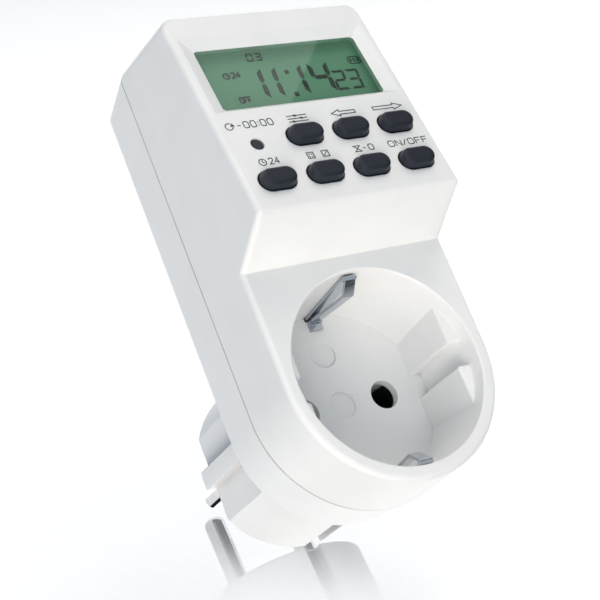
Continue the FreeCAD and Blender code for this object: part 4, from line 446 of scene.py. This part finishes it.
class TIMER_OT_finish_display(bpy.types.Operator):
    """Clear window, display cell and what holds it"""
    bl_idname = "timer.finish_display"
    bl_label = "Finish the display"

    def clear_window(self):
        """Clear plastic: see-through, with glossy faces, and sides that mirror what lies under it."""
        clear = bpy.data.materials.new("window_clear_acrylic")
        clear.use_nodes = True
        clear.node_tree.nodes.remove(surface(clear))
        output = clear.node_tree.nodes["Material Output"]
        through = node(clear, "ShaderNodeBsdfTransparent", Color=(0.985, 1.0, 0.99, 1)).outputs["BSDF"]
        gloss = node(clear, "ShaderNodeBsdfGlossy", Color=(1, 1, 1, 1))
        smears = ranged(clear, cloud(clear, 0.004, detail=4.0), 0.0, 1.0, 0.008, 0.03)
        join(clear, smears, gloss.inputs["Roughness"])
        film = node(clear, "ShaderNodeBump", Distance=0.000001, Strength=0.3)
        join(clear, cloud(clear, 0.012, detail=0.0), film.inputs["Height"])
        join(clear, film.outputs["Normal"], gloss.inputs["Normal"])
        side = node(clear, "ShaderNodeBsdfGlossy", Color=(0.9, 0.95, 0.92, 1), Roughness=0.4)
        # a gloss on the outer faces only, and the rough mirror on the four sides
        geometry = node(clear, "ShaderNodeNewGeometry")
        fresnel = node(clear, "ShaderNodeFresnel", IOR=1.49)
        front = calc(clear, "SUBTRACT", 1.0, geometry.outputs["Backfacing"])
        shine = calc(clear, "MULTIPLY", fresnel.outputs["Fac"], front)
        faces = blend(clear, shine, through, gloss.outputs["BSDF"])
        outward = reach_along(clear, geometry.outputs["True Normal"], PANEL_OUT)
        is_side = calc(clear, "LESS_THAN", calc(clear, "ABSOLUTE", outward), 0.5)
        sides = blend(clear, is_side, faces, side.outputs["BSDF"])
        # light passes straight through
        rays = node(clear, "ShaderNodeLightPath").outputs
        lit = calc(clear, "MAXIMUM", rays["Is Shadow Ray"], rays["Is Diffuse Ray"])
        join(clear, blend(clear, lit, sides, through), output.inputs["Surface"])
        return clear

    def execute(self, context):
        settings = context.scene.timer_display
        dress(self.clear_window(), "lcd_window")
        colour = tuple(settings.glass)
        # painted light: the display cell glows with its own colour, so it stays evenly bright into the
        # corners that the case shades
        glass = finish("display_cell", colour, 0.5, Specular_IOR_Level=0.15,
                       Emission_Color=(*colour, 1), Emission_Strength=0.45)
        vary_colour(glass, cloud(glass, 0.012, detail=1.0), mixed(colour, (0, 0, 0), 0.05), colour)
        fine = cloud(glass, 0.00012, detail=1.0)
        vary_gloss(glass, fine, 0.45, 0.55)
        relief(glass, fine, 0.000002)
        dress(glass, "lcd_panel")
        dress(moulded("frame_white", tone(232, 236, 232), 0.4), "lcd_frame")
        dress(banded("zebra_strip", tone(196, 150, 150), [(0.5, tone(34, 34, 36))], 0.0004),
              "lcd_connector_strips")
        return {"FINISHED"}


class TIMER_OT_finish_keys(bpy.types.Operator):
    """Dark keys, the reset button and the silicone mat under them"""
    bl_idname = "timer.finish_keys"
    bl_label = "Finish the keys"

    def execute(self, context):
        settings = context.scene.timer_keys
        keys = moulded("key_charcoal", tuple(settings.keys), 0.45, grain=0.0002, variation=0.12,
                       soften=0.0004)
        dress(keys, *[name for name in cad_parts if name.startswith("key_")])
        dress(moulded("reset_charcoal", tone(40, 43, 52), 0.45, grain=0.0002, variation=0.1),
              "reset_button")
        dress(moulded("silicone_grey", tone(176, 180, 182), 0.62, depth=0.000006), "keypad_mat")
        return {"FINISHED"}


class TIMER_OT_finish_metal(bpy.types.Operator):
    """Pins, contacts, strips and earth clips"""
    bl_idname = "timer.finish_metal"
    bl_label = "Finish the metal parts"

    def execute(self, context):
        dress(plated("bright_nickel_pins", tone(226, 227, 230), 0.05, stretch=(1, 0.05, 1)),
              "live_pin", "neutral_pin")
        clips = plated("bright_nickel_clips", tone(190, 195, 204), 0.13, stretch=(0.1, 1, 1),
                       soften=0.00015)
        dress(clips, "earth_bar", "earth_spring_upper", "earth_spring_lower",
              "plug_earth_contact_upper", "plug_earth_contact_lower", "earth_rivets")
        dress(plated("rolled_brass", tone(212, 178, 104), 0.24, stretch=(1, 1, 0.1)),
              "live_inlet_strip", "switched_live_strip", "neutral_strip")
        # plated metal whose dark grey-green colour is painted shade, standing in for the shade inside
        # the pin holes
        dress(plated("contacts_painted_hole_shade", tone(74, 98, 90), 0.4, stretch=(1, 0.1, 1)),
              "live_socket_contact", "neutral_socket_contact")
        dress(plated("silver_contacts", tone(206, 204, 198), 0.24, stretch=(1, 0.1, 1)),
              "relay_contacts", "relay_blade")
        return {"FINISHED"}


class TIMER_OT_finish_inside(bpy.types.Operator):
    """Boards, relay and the small parts inside the case"""
    bl_idname = "timer.finish_inside"
    bl_label = "Finish the inside"

    def execute(self, context):
        dress(laminate("control_laminate", tone(34, 96, 62)), "control_board")
        dress(laminate("power_laminate", tone(196, 168, 104)), "power_board")
        dress(moulded("chip_black", tone(30, 31, 33), 0.55, grain=0.00015),
              "control_chip", "transistor", "diodes")
        dress(plated("drawn_can", tone(188, 190, 190), 0.22), "crystal_can")
        dress(plated("cell_steel", tone(196, 197, 196), 0.2), "backup_cell")
        dress(plated("tab_steel", tone(190, 188, 182), 0.3, stretch=(1, 1, 0.1)), "cell_tabs")
        dress(banded("ribbon_grey", tone(170, 172, 176), [(0.85, tone(110, 112, 118))], 0.00127),
              "ribbon_cable")
        dress(moulded("header_black", tone(38, 38, 40), 0.5), "board_headers")
        dress(moulded("relay_white", tone(224, 222, 214), 0.42), "relay_base")
        dress(plated("relay_iron", tone(160, 162, 164), 0.32), "relay_core", "relay_armature")
        dress(wound("coil_copper", tone(196, 104, 62)), "relay_coil")
        dress(moulded("relay_blue", tone(28, 64, 128), 0.3), "relay_cover")
        dress(moulded("capacitor_yellow", tone(214, 176, 60), 0.35), "dropper_capacitor")
        dress(moulded("sleeve_black", tone(32, 34, 44), 0.3), "smoothing_capacitor")
        dress(moulded("varistor_blue", tone(40, 84, 168), 0.3), "varistor")
        beige = tone(206, 186, 148)
        rings = [(0.2, tone(120, 60, 30)), (0.3, beige), (0.4, tone(20, 20, 20)), (0.5, beige),
                 (0.6, tone(190, 40, 36)), (0.7, beige)]
        dress(banded("resistor_lacquer", beige, rings, 0.006), "resistors")
        dress(moulded("inner_grey", tone(206, 208, 208), 0.5), "pin_retainer", "contact_carrier")
        return {"FINISHED"}


# Display digits and symbols

# Which of the seven segments each digit lights: top, upper right, lower right, bottom, lower left,
# upper left, middle.
LIT = {"0": "abcdef", "1": "bc", "2": "abged", "3": "abgcd", "4": "fgbc", "5": "afgcd",
       "6": "afgedc", "7": "abc", "8": "abcdefg", "9": "abcdfg"}
# Digits lean by this share of their height. Segments stand apart by twice the lesser of a gap, in mm,
# and a share of their stroke.
SLANT = 0.1
SEGMENT_GAP = 0.13
GAP_SHARE = 0.1


def segment(start, stop, width, outer, cut_start, cut_stop):
    """One display segment between two points, in mm. An end is pointed, or cut aslant so that the
    edge on the digit's outer side is the longer one: outer is 1 where that is the left of the way."""
    a, b = Vector(start), Vector(stop)
    way = (b - a).normalized()
    side = Vector((-way.y, way.x)) * (width / 2) * outer
    tip = way * (width / 2)
    gap = min(SEGMENT_GAP, width * GAP_SHARE)
    a, b = a + way * gap, b - way * gap
    first = [a + tip - side, a - tip + side] if cut_start else [a + tip - side, a, a + tip + side]
    last = [b + tip + side, b - tip - side] if cut_stop else [b - tip + side, b, b - tip - side]
    return first + last


def digit(mesh, figure, left, foot, width, height, stroke):
    """A seven-segment digit on the display, whose stroke centres span this width and height."""
    def lean(x, y):
        return (left + x + SLANT * y, foot + y)
    half = height / 2
    ends = {"a": ((0, height), (width, height), 1, True, True),
            "b": ((width, half), (width, height), -1, False, True),
            "c": ((width, 0), (width, half), -1, True, False),
            "d": ((0, 0), (width, 0), -1, True, True),
            "e": ((0, 0), (0, half), 1, True, False),
            "f": ((0, half), (0, height), 1, False, True),
            "g": ((0, half), (width, half), 1, False, False)}
    for name in LIT[figure]:
        start, stop, outer, cut_start, cut_stop = ends[name]
        outline = segment(lean(*start), lean(*stop), stroke, outer, cut_start, cut_stop)
        raised(mesh, outline, GLASS_DEPTH, FILM)


# The time, in mm on the panel
DIGIT_FOOT = 28.9
DIGIT_HEIGHT = 6.75
DIGIT_STROKE = 1.05
DIGIT_WIDTH = 3.65
DIGIT_LEFTS = (-9.6, -6.27, -0.3, 5.9)
SMALL_FOOT = 28.6
SMALL_HEIGHT = 4.6
SMALL_STROKE = 0.6
SMALL_WIDTH = 2.45
SMALL_LEFTS = (10.5, 13.95)
DOTS = ((0.85, 34.52), (0.4, 28.6))
DOT_HALF = 0.5
DOT_LEAN = 0.05


class TIMER_OT_build_digits(bpy.types.Operator):
    """The time on the display, in seven-segment digits"""
    bl_idname = "timer.build_digits"
    bl_label = "Build the digits"

    def execute(self, context):
        settings = context.scene.timer_display
        ink = inked("segment_ink", tuple(settings.ink), 0.4, 0.0006, 0.04, depth=0.000002)
        mesh = bmesh.new()
        for figure, left in zip(settings.hours + settings.minutes, DIGIT_LEFTS):
            digit(mesh, figure, left, DIGIT_FOOT, DIGIT_WIDTH, DIGIT_HEIGHT, DIGIT_STROKE)
        for figure, left in zip(settings.seconds, SMALL_LEFTS):
            digit(mesh, figure, left, SMALL_FOOT, SMALL_WIDTH, SMALL_HEIGHT, SMALL_STROKE)
        for x, y in DOTS:
            raised(mesh, [(x - DOT_HALF, y - DOT_HALF), (x + DOT_HALF, y - DOT_HALF),
                          (x + DOT_HALF + DOT_LEAN, y + DOT_HALF),
                          (x - DOT_HALF + DOT_LEAN, y + DOT_HALF)], GLASS_DEPTH, FILM)
        piece_from("display_digits", mesh, ink, "case")
        return {"FINISHED"}


def loop(width, corner):
    """The corners of a letter's round form, one high and this wide."""
    inner = width - corner
    low, high = 0.2, 0.8
    return [(corner, 0), (0, low), (0, high), (corner, 1),
            (inner, 1), (width, high), (width, low), (inner, 0)]


# Each letter's strokes, as points in a box one high, and whether each closes on itself
LETTERS = {
    "O": [(loop(0.7, 0.15), True)],
    "N": [([(0, 0), (0, 1), (0.65, 0), (0.65, 1)], False)],
    "F": [([(0, 0), (0, 1), (0.6, 1)], False), ([(0, 0.52), (0.5, 0.52)], False)],
    "/": [([(0, 0), (0.4, 1)], False)],
    "0": [(loop(0.57, 0.12), True)],
    "2": [([(0, 0.78), (0.1, 1), (0.46, 1), (0.57, 0.8), (0.57, 0.62), (0, 0), (0.6, 0)], False)],
    "4": [([(0.42, 0), (0.42, 1), (0, 0.32), (0.6, 0.32)], False)],
    ":": [([(0.05, 0.14), (0.05, 0.3)], False), ([(0.05, 0.62), (0.05, 0.78)], False)],
}
LETTER_WIDTH = {"O": 0.7, "N": 0.65, "F": 0.6, "/": 0.4, "0": 0.57, "2": 0.6, "4": 0.6, ":": 0.1}
LETTER_GAP = 0.24


def word(mesh, letters, left, foot, height, width, stroke, depth, thickness):
    """A word in plain strokes, fitted between left and left + width."""
    natural = sum(LETTER_WIDTH[letter] for letter in letters) + LETTER_GAP * (len(letters) - 1)
    stretch = (width - stroke) / natural
    cursor = left + stroke / 2
    for letter in letters:
        for points, closed in LETTERS[letter]:
            placed = [(cursor + x * stretch, foot + stroke / 2 + y * (height - stroke))
                      for x, y in points]
            drawn(mesh, placed, stroke, depth, thickness, closed)
        cursor += (LETTER_WIDTH[letter] + LETTER_GAP) * stretch


# The marks round the time, in mm on the panel
MARK_HEIGHT = 1.75
MARK_STROKE = 0.4
MARKS_LEFT = -12.75
OFF_FOOT = 27.8
OFF_WIDTH = 2.9
DAY_LEFTS = (-6.3, -4.35)
DAY_FOOT = 38.25
DAY_WIDTH = 1.25
DAY_HEIGHT = 1.75
DAY_STROKE = 0.44
CLOCK_MIDDLE = 35.0
CLOCK_RADIUS = 0.7
CLOCK_STROKE = 0.34
CLOCK_HANDS = ((0, 0.4), (0, 0), (0.35, -0.1))
HOURS_WIDTH = 2.2
BOX_LEFT, BOX_RIGHT = 16.95, 18.6
BOX_LOW, BOX_HIGH = 35.4, 36.1
BOX_CORNER = 0.6
FRAME_STROKE = 0.28
BARS = (16.95, 17.77, 18.6)
BAR_HALF = 0.2


class TIMER_OT_build_display_marks(bpy.types.Operator):
    """The small state marks round the digits"""
    bl_idname = "timer.build_display_marks"
    bl_label = "Build the display marks"

    def execute(self, context):
        settings = context.scene.timer_display
        ink = inked("mark_ink", tuple(settings.ink), 0.4, 0.0006, 0.04)
        mesh = bmesh.new()

        def film(points, wide, closed=False):
            drawn(mesh, points, wide, GLASS_DEPTH, FILM, closed)

        def film_word(letters, left, foot, width):
            word(mesh, letters, left, foot, MARK_HEIGHT, width, MARK_STROKE, GLASS_DEPTH, FILM)

        film_word("OFF", MARKS_LEFT, OFF_FOOT, OFF_WIDTH)
        for figure, left in zip(settings.day, DAY_LEFTS):
            digit(mesh, figure, left, DAY_FOOT, DAY_WIDTH, DAY_HEIGHT, DAY_STROKE)
        # a clock face, its hands and the hours of the day
        x, y = MARKS_LEFT, CLOCK_MIDDLE
        film(arc((x, y), CLOCK_RADIUS, 0, 345, 20)[:-1], CLOCK_STROKE, closed=True)
        film(moved(CLOCK_HANDS, x, y), FRAME_STROKE)
        film_word("24", x + 1.05, y - 0.8, HOURS_WIDTH)
        # a rounded box with three bars
        box = []
        for corner, start in (((BOX_RIGHT, BOX_HIGH), 90), ((BOX_RIGHT, BOX_LOW), 0),
                              ((BOX_LEFT, BOX_LOW), 270), ((BOX_LEFT, BOX_HIGH), 180)):
            box += arc(corner, BOX_CORNER, start, start - 90, 5)
        film(box, FRAME_STROKE, closed=True)
        foot, top = BOX_LOW - BAR_HALF, BOX_HIGH + BAR_HALF
        for x in BARS:
            left, right = x - BAR_HALF, x + BAR_HALF
            raised(mesh, [(left, foot), (right, foot), (right, top), (left, top)], GLASS_DEPTH, FILM)
        piece_from("display_marks", mesh, ink, "case")
        return {"FINISHED"}


# The printed symbols, in mm on the panel: the upper row's middle and the lower row's foot
UPPER_MIDDLE = 20.2
LOWER_FOOT = 10.3
UPPER_HEIGHT = 1.75
LOWER_HEIGHT = 1.6
# The turning arrow, the tip and the dash beside it, and the time that it sets
TURN_CENTRE = -20.0
TURN_RADIUS = 0.78
TURN_TIP = ((0.25, -0.05), (1.25, -0.05), (0.75, 0.75))
TURN_DASH = ((1.8, 0), (2.5, 0))
NOUGHT_LEFT, NOUGHT_WIDTH = -16.95, 6.55
# Three sliders: the left and right of their rails, and each rail's rise and its knob's way along it
RAIL_LEFT, RAIL_RIGHT = -7.1, -2.65
RAIL_FOOT = 19.5
SLIDERS = ((0, 1.1), (0.72, 3.1), (1.44, 1.9))
KNOB_HALF = 0.25
KNOB_STROKE = 0.5
# Each arrow's tip, tail and head length, then what all arrows share
ARROWS = ((2.9, 8.4, 1.9), (19.7, 12.7, 2.1))
ARROW_MIDDLE = 20.22
ARROW_HALF = 0.8
ARROW_NECK = 0.36
# The clock, and the hours of the day beside it
DIAL_CENTRE = (-17.0, 11.08)
DIAL_RADIUS = 0.75
DIAL_HANDS = ((0, 0.52), (0, 0), (0.4, -0.18))
BESIDE_DIAL, BESIDE_WIDTH = -15.7, 2.35
# Two dice: the left side and the dots, in shares of the side
DIE_SIDE = 1.4
DICE = ((-7.1, ((0.3, 0.3), (0.7, 0.7), (0.3, 0.7), (0.7, 0.3))),
        (-3.8, ((0.27, 0.27), (0.5, 0.5), (0.73, 0.73))))
PIP_RADIUS = 0.17
# The hourglass, and the dash and the nought beside it
GLASS_LEFT, GLASS_RIGHT = 3.6, 5.0
GLASS_TOP = 11.75
DASH = ((5.6, 11.1), (6.2, 11.1))
ZERO_LEFT, ZERO_WIDTH = 6.8, 1.3
SIGN_FOOT = 10.4
ON_OFF_LEFT, ON_OFF_WIDTH = 11.5, 9.5


class TIMER_OT_build_symbols(bpy.types.Operator):
    """The printed symbols over the keys and the reset button"""
    bl_idname = "timer.build_symbols"
    bl_label = "Build the key symbols"

    def execute(self, context):
        settings = context.scene.timer_keys
        stroke = settings.stroke
        ink = inked("print_ink", tuple(settings.ink), 0.55, 0.0007, 0.03, depth=0.000003)
        mesh = bmesh.new()

        def stripe(points, closed=False, wide=stroke):
            drawn(mesh, points, wide, PRINT_FOOT, PRINT, closed)

        def print_word(letters, left, foot, height, width):
            word(mesh, letters, left, foot, height, width, stroke, PRINT_FOOT, PRINT)

        def arrow(tip, tail, head):
            """The outline of an arrow from its tip to its tail."""
            base = tip - head if tip > tail else tip + head
            low, high = ARROW_MIDDLE - ARROW_NECK, ARROW_MIDDLE + ARROW_NECK
            stripe([(tip, ARROW_MIDDLE), (base, ARROW_MIDDLE + ARROW_HALF), (base, high), (tail, high),
                    (tail, low), (base, low), (base, ARROW_MIDDLE - ARROW_HALF)], closed=True)

        def die(left, pips):
            """The face of a die."""
            right, foot, top = left + DIE_SIDE, SIGN_FOOT, SIGN_FOOT + DIE_SIDE
            stripe([(left, foot), (right, foot), (right, top), (left, top)], closed=True)
            for x, y in pips:
                centre = (left + x * DIE_SIDE, foot + y * DIE_SIDE)
                raised(mesh, arc(centre, PIP_RADIUS, 0, 330, 11), PRINT_FOOT, PRINT)

        # reset: a turning arrow, then the time at nought
        x, y = TURN_CENTRE, UPPER_MIDDLE
        stripe(arc((x, y), TURN_RADIUS, 50, 350, 18))
        raised(mesh, moved(TURN_TIP, x, y), PRINT_FOOT, PRINT)
        stripe(moved(TURN_DASH, x, y))
        print_word("00:00", NOUGHT_LEFT, y - 0.85, UPPER_HEIGHT, NOUGHT_WIDTH)
        # set: three sliders
        for rise, way in SLIDERS:
            y = RAIL_FOOT + rise
            stripe([(RAIL_LEFT, y), (RAIL_RIGHT, y)])
            knob = RAIL_LEFT + way
            stripe([(knob, y - KNOB_HALF), (knob, y + KNOB_HALF)], wide=KNOB_STROKE)
        # left and right
        for tip, tail, head in ARROWS:
            arrow(tip, tail, head)
        # clock: a dial and the hours of the day
        stripe(arc(DIAL_CENTRE, DIAL_RADIUS, 0, 345, 23)[:-1], closed=True)
        stripe(moved(DIAL_HANDS, *DIAL_CENTRE))
        print_word("24", BESIDE_DIAL, LOWER_FOOT, LOWER_HEIGHT, BESIDE_WIDTH)
        # random: two dice
        for left, pips in DICE:
            die(left, pips)
        # countdown: an hourglass, then nought
        stripe([(GLASS_LEFT, SIGN_FOOT), (GLASS_RIGHT, SIGN_FOOT), (GLASS_LEFT, GLASS_TOP),
                (GLASS_RIGHT, GLASS_TOP)], closed=True)
        stripe(DASH)
        print_word("0", ZERO_LEFT, LOWER_FOOT, LOWER_HEIGHT, ZERO_WIDTH)
        print_word("ON/OFF", ON_OFF_LEFT, LOWER_FOOT, LOWER_HEIGHT, ON_OFF_WIDTH)
        piece_from("key_symbols", mesh, ink, "case")
        return {"FINISHED"}


# Stage

# The camera stands where the photograph was taken: its place, its three axes and its lens.
CAMERA_PLACE = Vector((-0.15515264, -0.27930557, -0.06685842))
CAMERA_RIGHT = Vector((0.84450909, -0.39872889, -0.35751877))
CAMERA_UP = Vector((0.17017342, -0.43318748, 0.885093))
CAMERA_BACK = Vector((-0.5077848, -0.80830928, -0.29797771))
CAMERA_LENS = 89.06072
# The middle of the object, where the lamps aim
MIDDLE = Vector((0, -0.03, 0.028))

# The floor faces up and leans towards the camera by this many degrees. It is white by its paint and its
# glow together.
FLOOR_TILT = 16.7
FLOOR_SIZE = 6.0
FLOOR_CUTS = 11
FLOOR_GAP = 0.0003
FLOOR_PAINT = 0.5
FLOOR_GLOW = 0.66
FLOOR_GLOSS = (0.66, 0.67, 0.685, 1)
# Where the floor's gloss starts, is full, starts to fade and is gone, in metres from the foot of the
# case: towards the camera, and to the right.
GLOSS_DEPTH = (-0.09, -0.05, -0.01, 0.031)
GLOSS_WIDTH = (-0.08, -0.05, 0.05, 0.08)

# The studio's glossy reflections are bright on one side of this plane. On the other side they are dark
# across the camera's view, and grey towards it. Far beyond the object they are brightest.
BRIGHT_SIDE = Vector((-0.73718463, 0.06939942, 0.67211796))
DARK_LEVEL = 0.02
GREY_LEVEL = 0.7
DARK_UNTIL = 0.05
GREY_FROM = 0.35
BEYOND_LEVEL = 1.5
BEYOND_FROM = -0.6

# Each lamp: its name, its direction in the camera's right, up and back, its strength and its colour.
# All are round, of one size, and as far away.
LAMP_SIZE = 1.0
LAMP_DISTANCE = 1.6
LAMP_RADIANCE = 13.0
LAMPS = (
    ("lamp_over", (0.19, 0.98, 0.0), 0.275, (1.0, 0.9, 0.79)),
    ("lamp_over_front", (0.04, 0.91, 0.41), 0.155, (1.0, 0.97, 0.93)),
    ("lamp_right_back", (0.70, 0.41, -0.59), 0.28, (1.0, 1.0, 0.96)),
    ("lamp_left_back", (-0.8, -0.2, -0.5), 0.02, (0.98, 1.0, 1.0)),
    ("lamp_behind", (-0.25, -0.1, -0.96), 0.38, (1.0, 0.97, 0.92)),
    ("lamp_front", (0.0, -0.30, 0.95), 0.385, (1.0, 0.985, 0.96)),
    ("lamp_low_right", (0.28, -0.59, 0.76), 0.16, (1.0, 0.88, 0.7)),
    ("lamp_low_front", (-0.13, -0.77, 0.63), 0.28, (1.0, 0.92, 0.85)),
)


def soft_lamp(name, direction, radiance, colour):
    """A round lamp of even brightness that faces the object, and shows in no reflection."""
    data = bpy.data.lights.new(name, "AREA")
    data.shape = "DISK"
    data.size = LAMP_SIZE
    data.energy = radiance * math.pi * math.pi * LAMP_SIZE * LAMP_SIZE / 4
    data.color = colour
    lamp = bpy.data.objects.new(name, data)
    right, up, back = direction
    way = (CAMERA_RIGHT * right + CAMERA_UP * up + CAMERA_BACK * back).normalized()
    turn = way.to_track_quat("Z", "Y").to_matrix().to_4x4()
    lamp.matrix_world = Matrix.Translation(MIDDLE + way * LAMP_DISTANCE) @ turn
    lamp.visible_camera = False
    lamp.visible_glossy = False
    bpy.context.scene.collection.objects.link(lamp)


class TIMER_OT_build_stage(bpy.types.Operator):
    """Pale floor, soft lamps, white surround and the camera"""
    bl_idname = "timer.build_stage"
    bl_label = "Build the stage"

    def build_surround(self, strength):
        """White behind the object, even light from all round, and a bright and a dark side in gloss."""
        world = bpy.data.worlds.new("studio")
        bpy.context.scene.world = world
        world.use_nodes = True
        world.node_tree.nodes.clear()

        def background(colour, amount):
            return node(world, "ShaderNodeBackground", Color=(*colour, 1), Strength=amount)

        ways = node(world, "ShaderNodeTexCoord").outputs["Generated"]
        rays = node(world, "ShaderNodeLightPath").outputs
        white = background((1, 1, 1), 1.0).outputs["Background"]
        light = background((0.67, 0.83, 1.0), strength).outputs["Background"]
        farthest = background((1, 1, 1), BEYOND_LEVEL).outputs["Background"]
        dark = background((0.9, 0.95, 1.0), DARK_LEVEL)
        nearness = reach_along(world, ways, CAMERA_BACK)
        grey = ranged(world, nearness, DARK_UNTIL, GREY_FROM, DARK_LEVEL, GREY_LEVEL)
        join(world, grey, dark.inputs["Strength"])
        bright = calc(world, "GREATER_THAN", reach_along(world, ways, BRIGHT_SIDE), 0.0)
        beyond = calc(world, "LESS_THAN", nearness, BEYOND_FROM)
        sides = blend(world, bright, dark.outputs["Background"], white)
        mirrored = blend(world, beyond, sides, farthest)
        gloss = blend(world, rays["Is Glossy Ray"], light, mirrored)
        direct = calc(world, "MAXIMUM", rays["Is Camera Ray"], rays["Is Transmission Ray"])
        out = node(world, "ShaderNodeOutputWorld")
        join(world, blend(world, direct, gloss, white), out.inputs["Surface"])

    def build_camera(self):
        data = bpy.data.cameras.new("camera")
        data.lens = CAMERA_LENS
        data.sensor_width = 36
        data.clip_start = 0.01
        data.clip_end = 20
        camera = bpy.data.objects.new("camera", data)
        turn = Matrix((CAMERA_RIGHT, CAMERA_UP, CAMERA_BACK)).transposed().to_4x4()
        camera.matrix_world = Matrix.Translation(CAMERA_PLACE) @ turn
        bpy.context.scene.collection.objects.link(camera)
        bpy.context.scene.camera = camera

    def build_floor(self, mirror):
        """A white floor that the case leans on, glossy near the case, and open from below."""
        up = (Matrix.Rotation(math.radians(FLOOR_TILT), 3, CAMERA_RIGHT) @ CAMERA_UP).normalized()
        corners = [v.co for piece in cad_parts.values() for v in piece.data.vertices]
        lowest = min(corners, key=lambda corner: corner.dot(up))
        foot = Vector(lowest) - up * FLOOR_GAP
        across = CAMERA_RIGHT
        near = across.cross(up)
        mesh = bmesh.new()
        half = FLOOR_SIZE / 2
        mesh.faces.new([mesh.verts.new(foot + across * (x * half) + near * (y * half))
                        for x, y in ((-1, 1), (1, 1), (1, -1), (-1, -1))])
        bmesh.ops.subdivide_edges(mesh, edges=mesh.edges, cuts=FLOOR_CUTS, use_grid_fill=True)
        mesh.normal_update()
        if next(iter(mesh.faces)).normal.dot(up) < 0:
            bmesh.ops.reverse_faces(mesh, faces=mesh.faces)
        data = bpy.data.meshes.new("floor")
        mesh.to_mesh(data)
        mesh.free()
        floor = bpy.data.objects.new("floor", data)
        bpy.context.scene.collection.objects.link(floor)
        floor.visible_shadow = False
        floor.visible_diffuse = False
        floor.visible_glossy = False

        paint = finish("floor_white", (FLOOR_PAINT, FLOOR_PAINT, FLOOR_PAINT), 0.6,
                       Specular_IOR_Level=0, Emission_Color=(1, 1, 1, 1), Emission_Strength=FLOOR_GLOW)
        gloss = node(paint, "ShaderNodeBsdfGlossy", Color=FLOOR_GLOSS, Roughness=0.02)
        # the gloss is a soft-edged patch round the foot of the case
        where = place(paint)
        share = mirror
        for way, stops in ((near, GLOSS_DEPTH), (across, GLOSS_WIDTH)):
            start, full, fading, gone = (foot.dot(way) + stop for stop in stops)
            run = reach_along(paint, where, way)
            rising = ranged(paint, run, start, full, 0.0, mirror, interpolation_type="SMOOTHSTEP")
            falling = ranged(paint, run, fading, gone, mirror, 0.0, interpolation_type="SMOOTHSTEP")
            share = calc(paint, "MINIMUM", share, calc(paint, "MINIMUM", rising, falling))
        shine = blend(paint, share, surface(paint).outputs["BSDF"], gloss.outputs["BSDF"])
        through = node(paint, "ShaderNodeBsdfTransparent")
        facing = node(paint, "ShaderNodeNewGeometry")
        sides = blend(paint, facing.outputs["Backfacing"], shine, through.outputs["BSDF"])
        join(paint, sides, paint.node_tree.nodes["Material Output"].inputs["Surface"])
        data.materials.append(paint)

    def execute(self, context):
        settings = context.scene.timer_stage
        context.scene.view_settings.view_transform = "Standard"
        self.build_surround(settings.surround)
        self.build_camera()
        for name, direction, share, colour in LAMPS:
            soft_lamp(name, direction, LAMP_RADIANCE * share * settings.brightness, colour)
        self.build_floor(settings.mirror)
        return {"FINISHED"}


# Panel and running

OPERATORS = (TIMER_OT_finish_case, TIMER_OT_finish_display, TIMER_OT_finish_keys, TIMER_OT_finish_metal,
             TIMER_OT_finish_inside, TIMER_OT_build_digits, TIMER_OT_build_display_marks,
             TIMER_OT_build_symbols, TIMER_OT_build_stage)
SETTINGS = (("timer_case", TimerCaseSettings), ("timer_display", TimerDisplaySettings),
            ("timer_keys", TimerKeySettings), ("timer_stage", TimerStageSettings))


class TIMER_PT_panel(bpy.types.Panel):
    """Lists the steps that dress the timer switch"""
    bl_idname = "TIMER_PT_panel"
    bl_label = "Timer Switch"
    bl_space_type = "VIEW_3D"
    bl_region_type = "UI"
    bl_category = "Timer Switch"

    def draw(self, context):
        layout = self.layout
        for name, group in SETTINGS:
            box = layout.box()
            settings = getattr(context.scene, name)
            for field in group.__annotations__:
                box.prop(settings, field)
        for operator in OPERATORS:
            layout.operator(operator.bl_idname)


def register():
    for name, group in SETTINGS:
        bpy.utils.register_class(group)
        setattr(bpy.types.Scene, name, PointerProperty(type=group))
    for operator in OPERATORS:
        bpy.utils.register_class(operator)
    bpy.utils.register_class(TIMER_PT_panel)


def unregister():
    bpy.utils.unregister_class(TIMER_PT_panel)
    for operator in reversed(OPERATORS):
        bpy.utils.unregister_class(operator)
    for name, group in reversed(SETTINGS):
        delattr(bpy.types.Scene, name)
        bpy.utils.unregister_class(group)


def main():
    register()
    for operator in OPERATORS:
        family, step = operator.bl_idname.split(".")
        getattr(getattr(bpy.ops, family), step)()


if __name__ == "__main__":
    main()
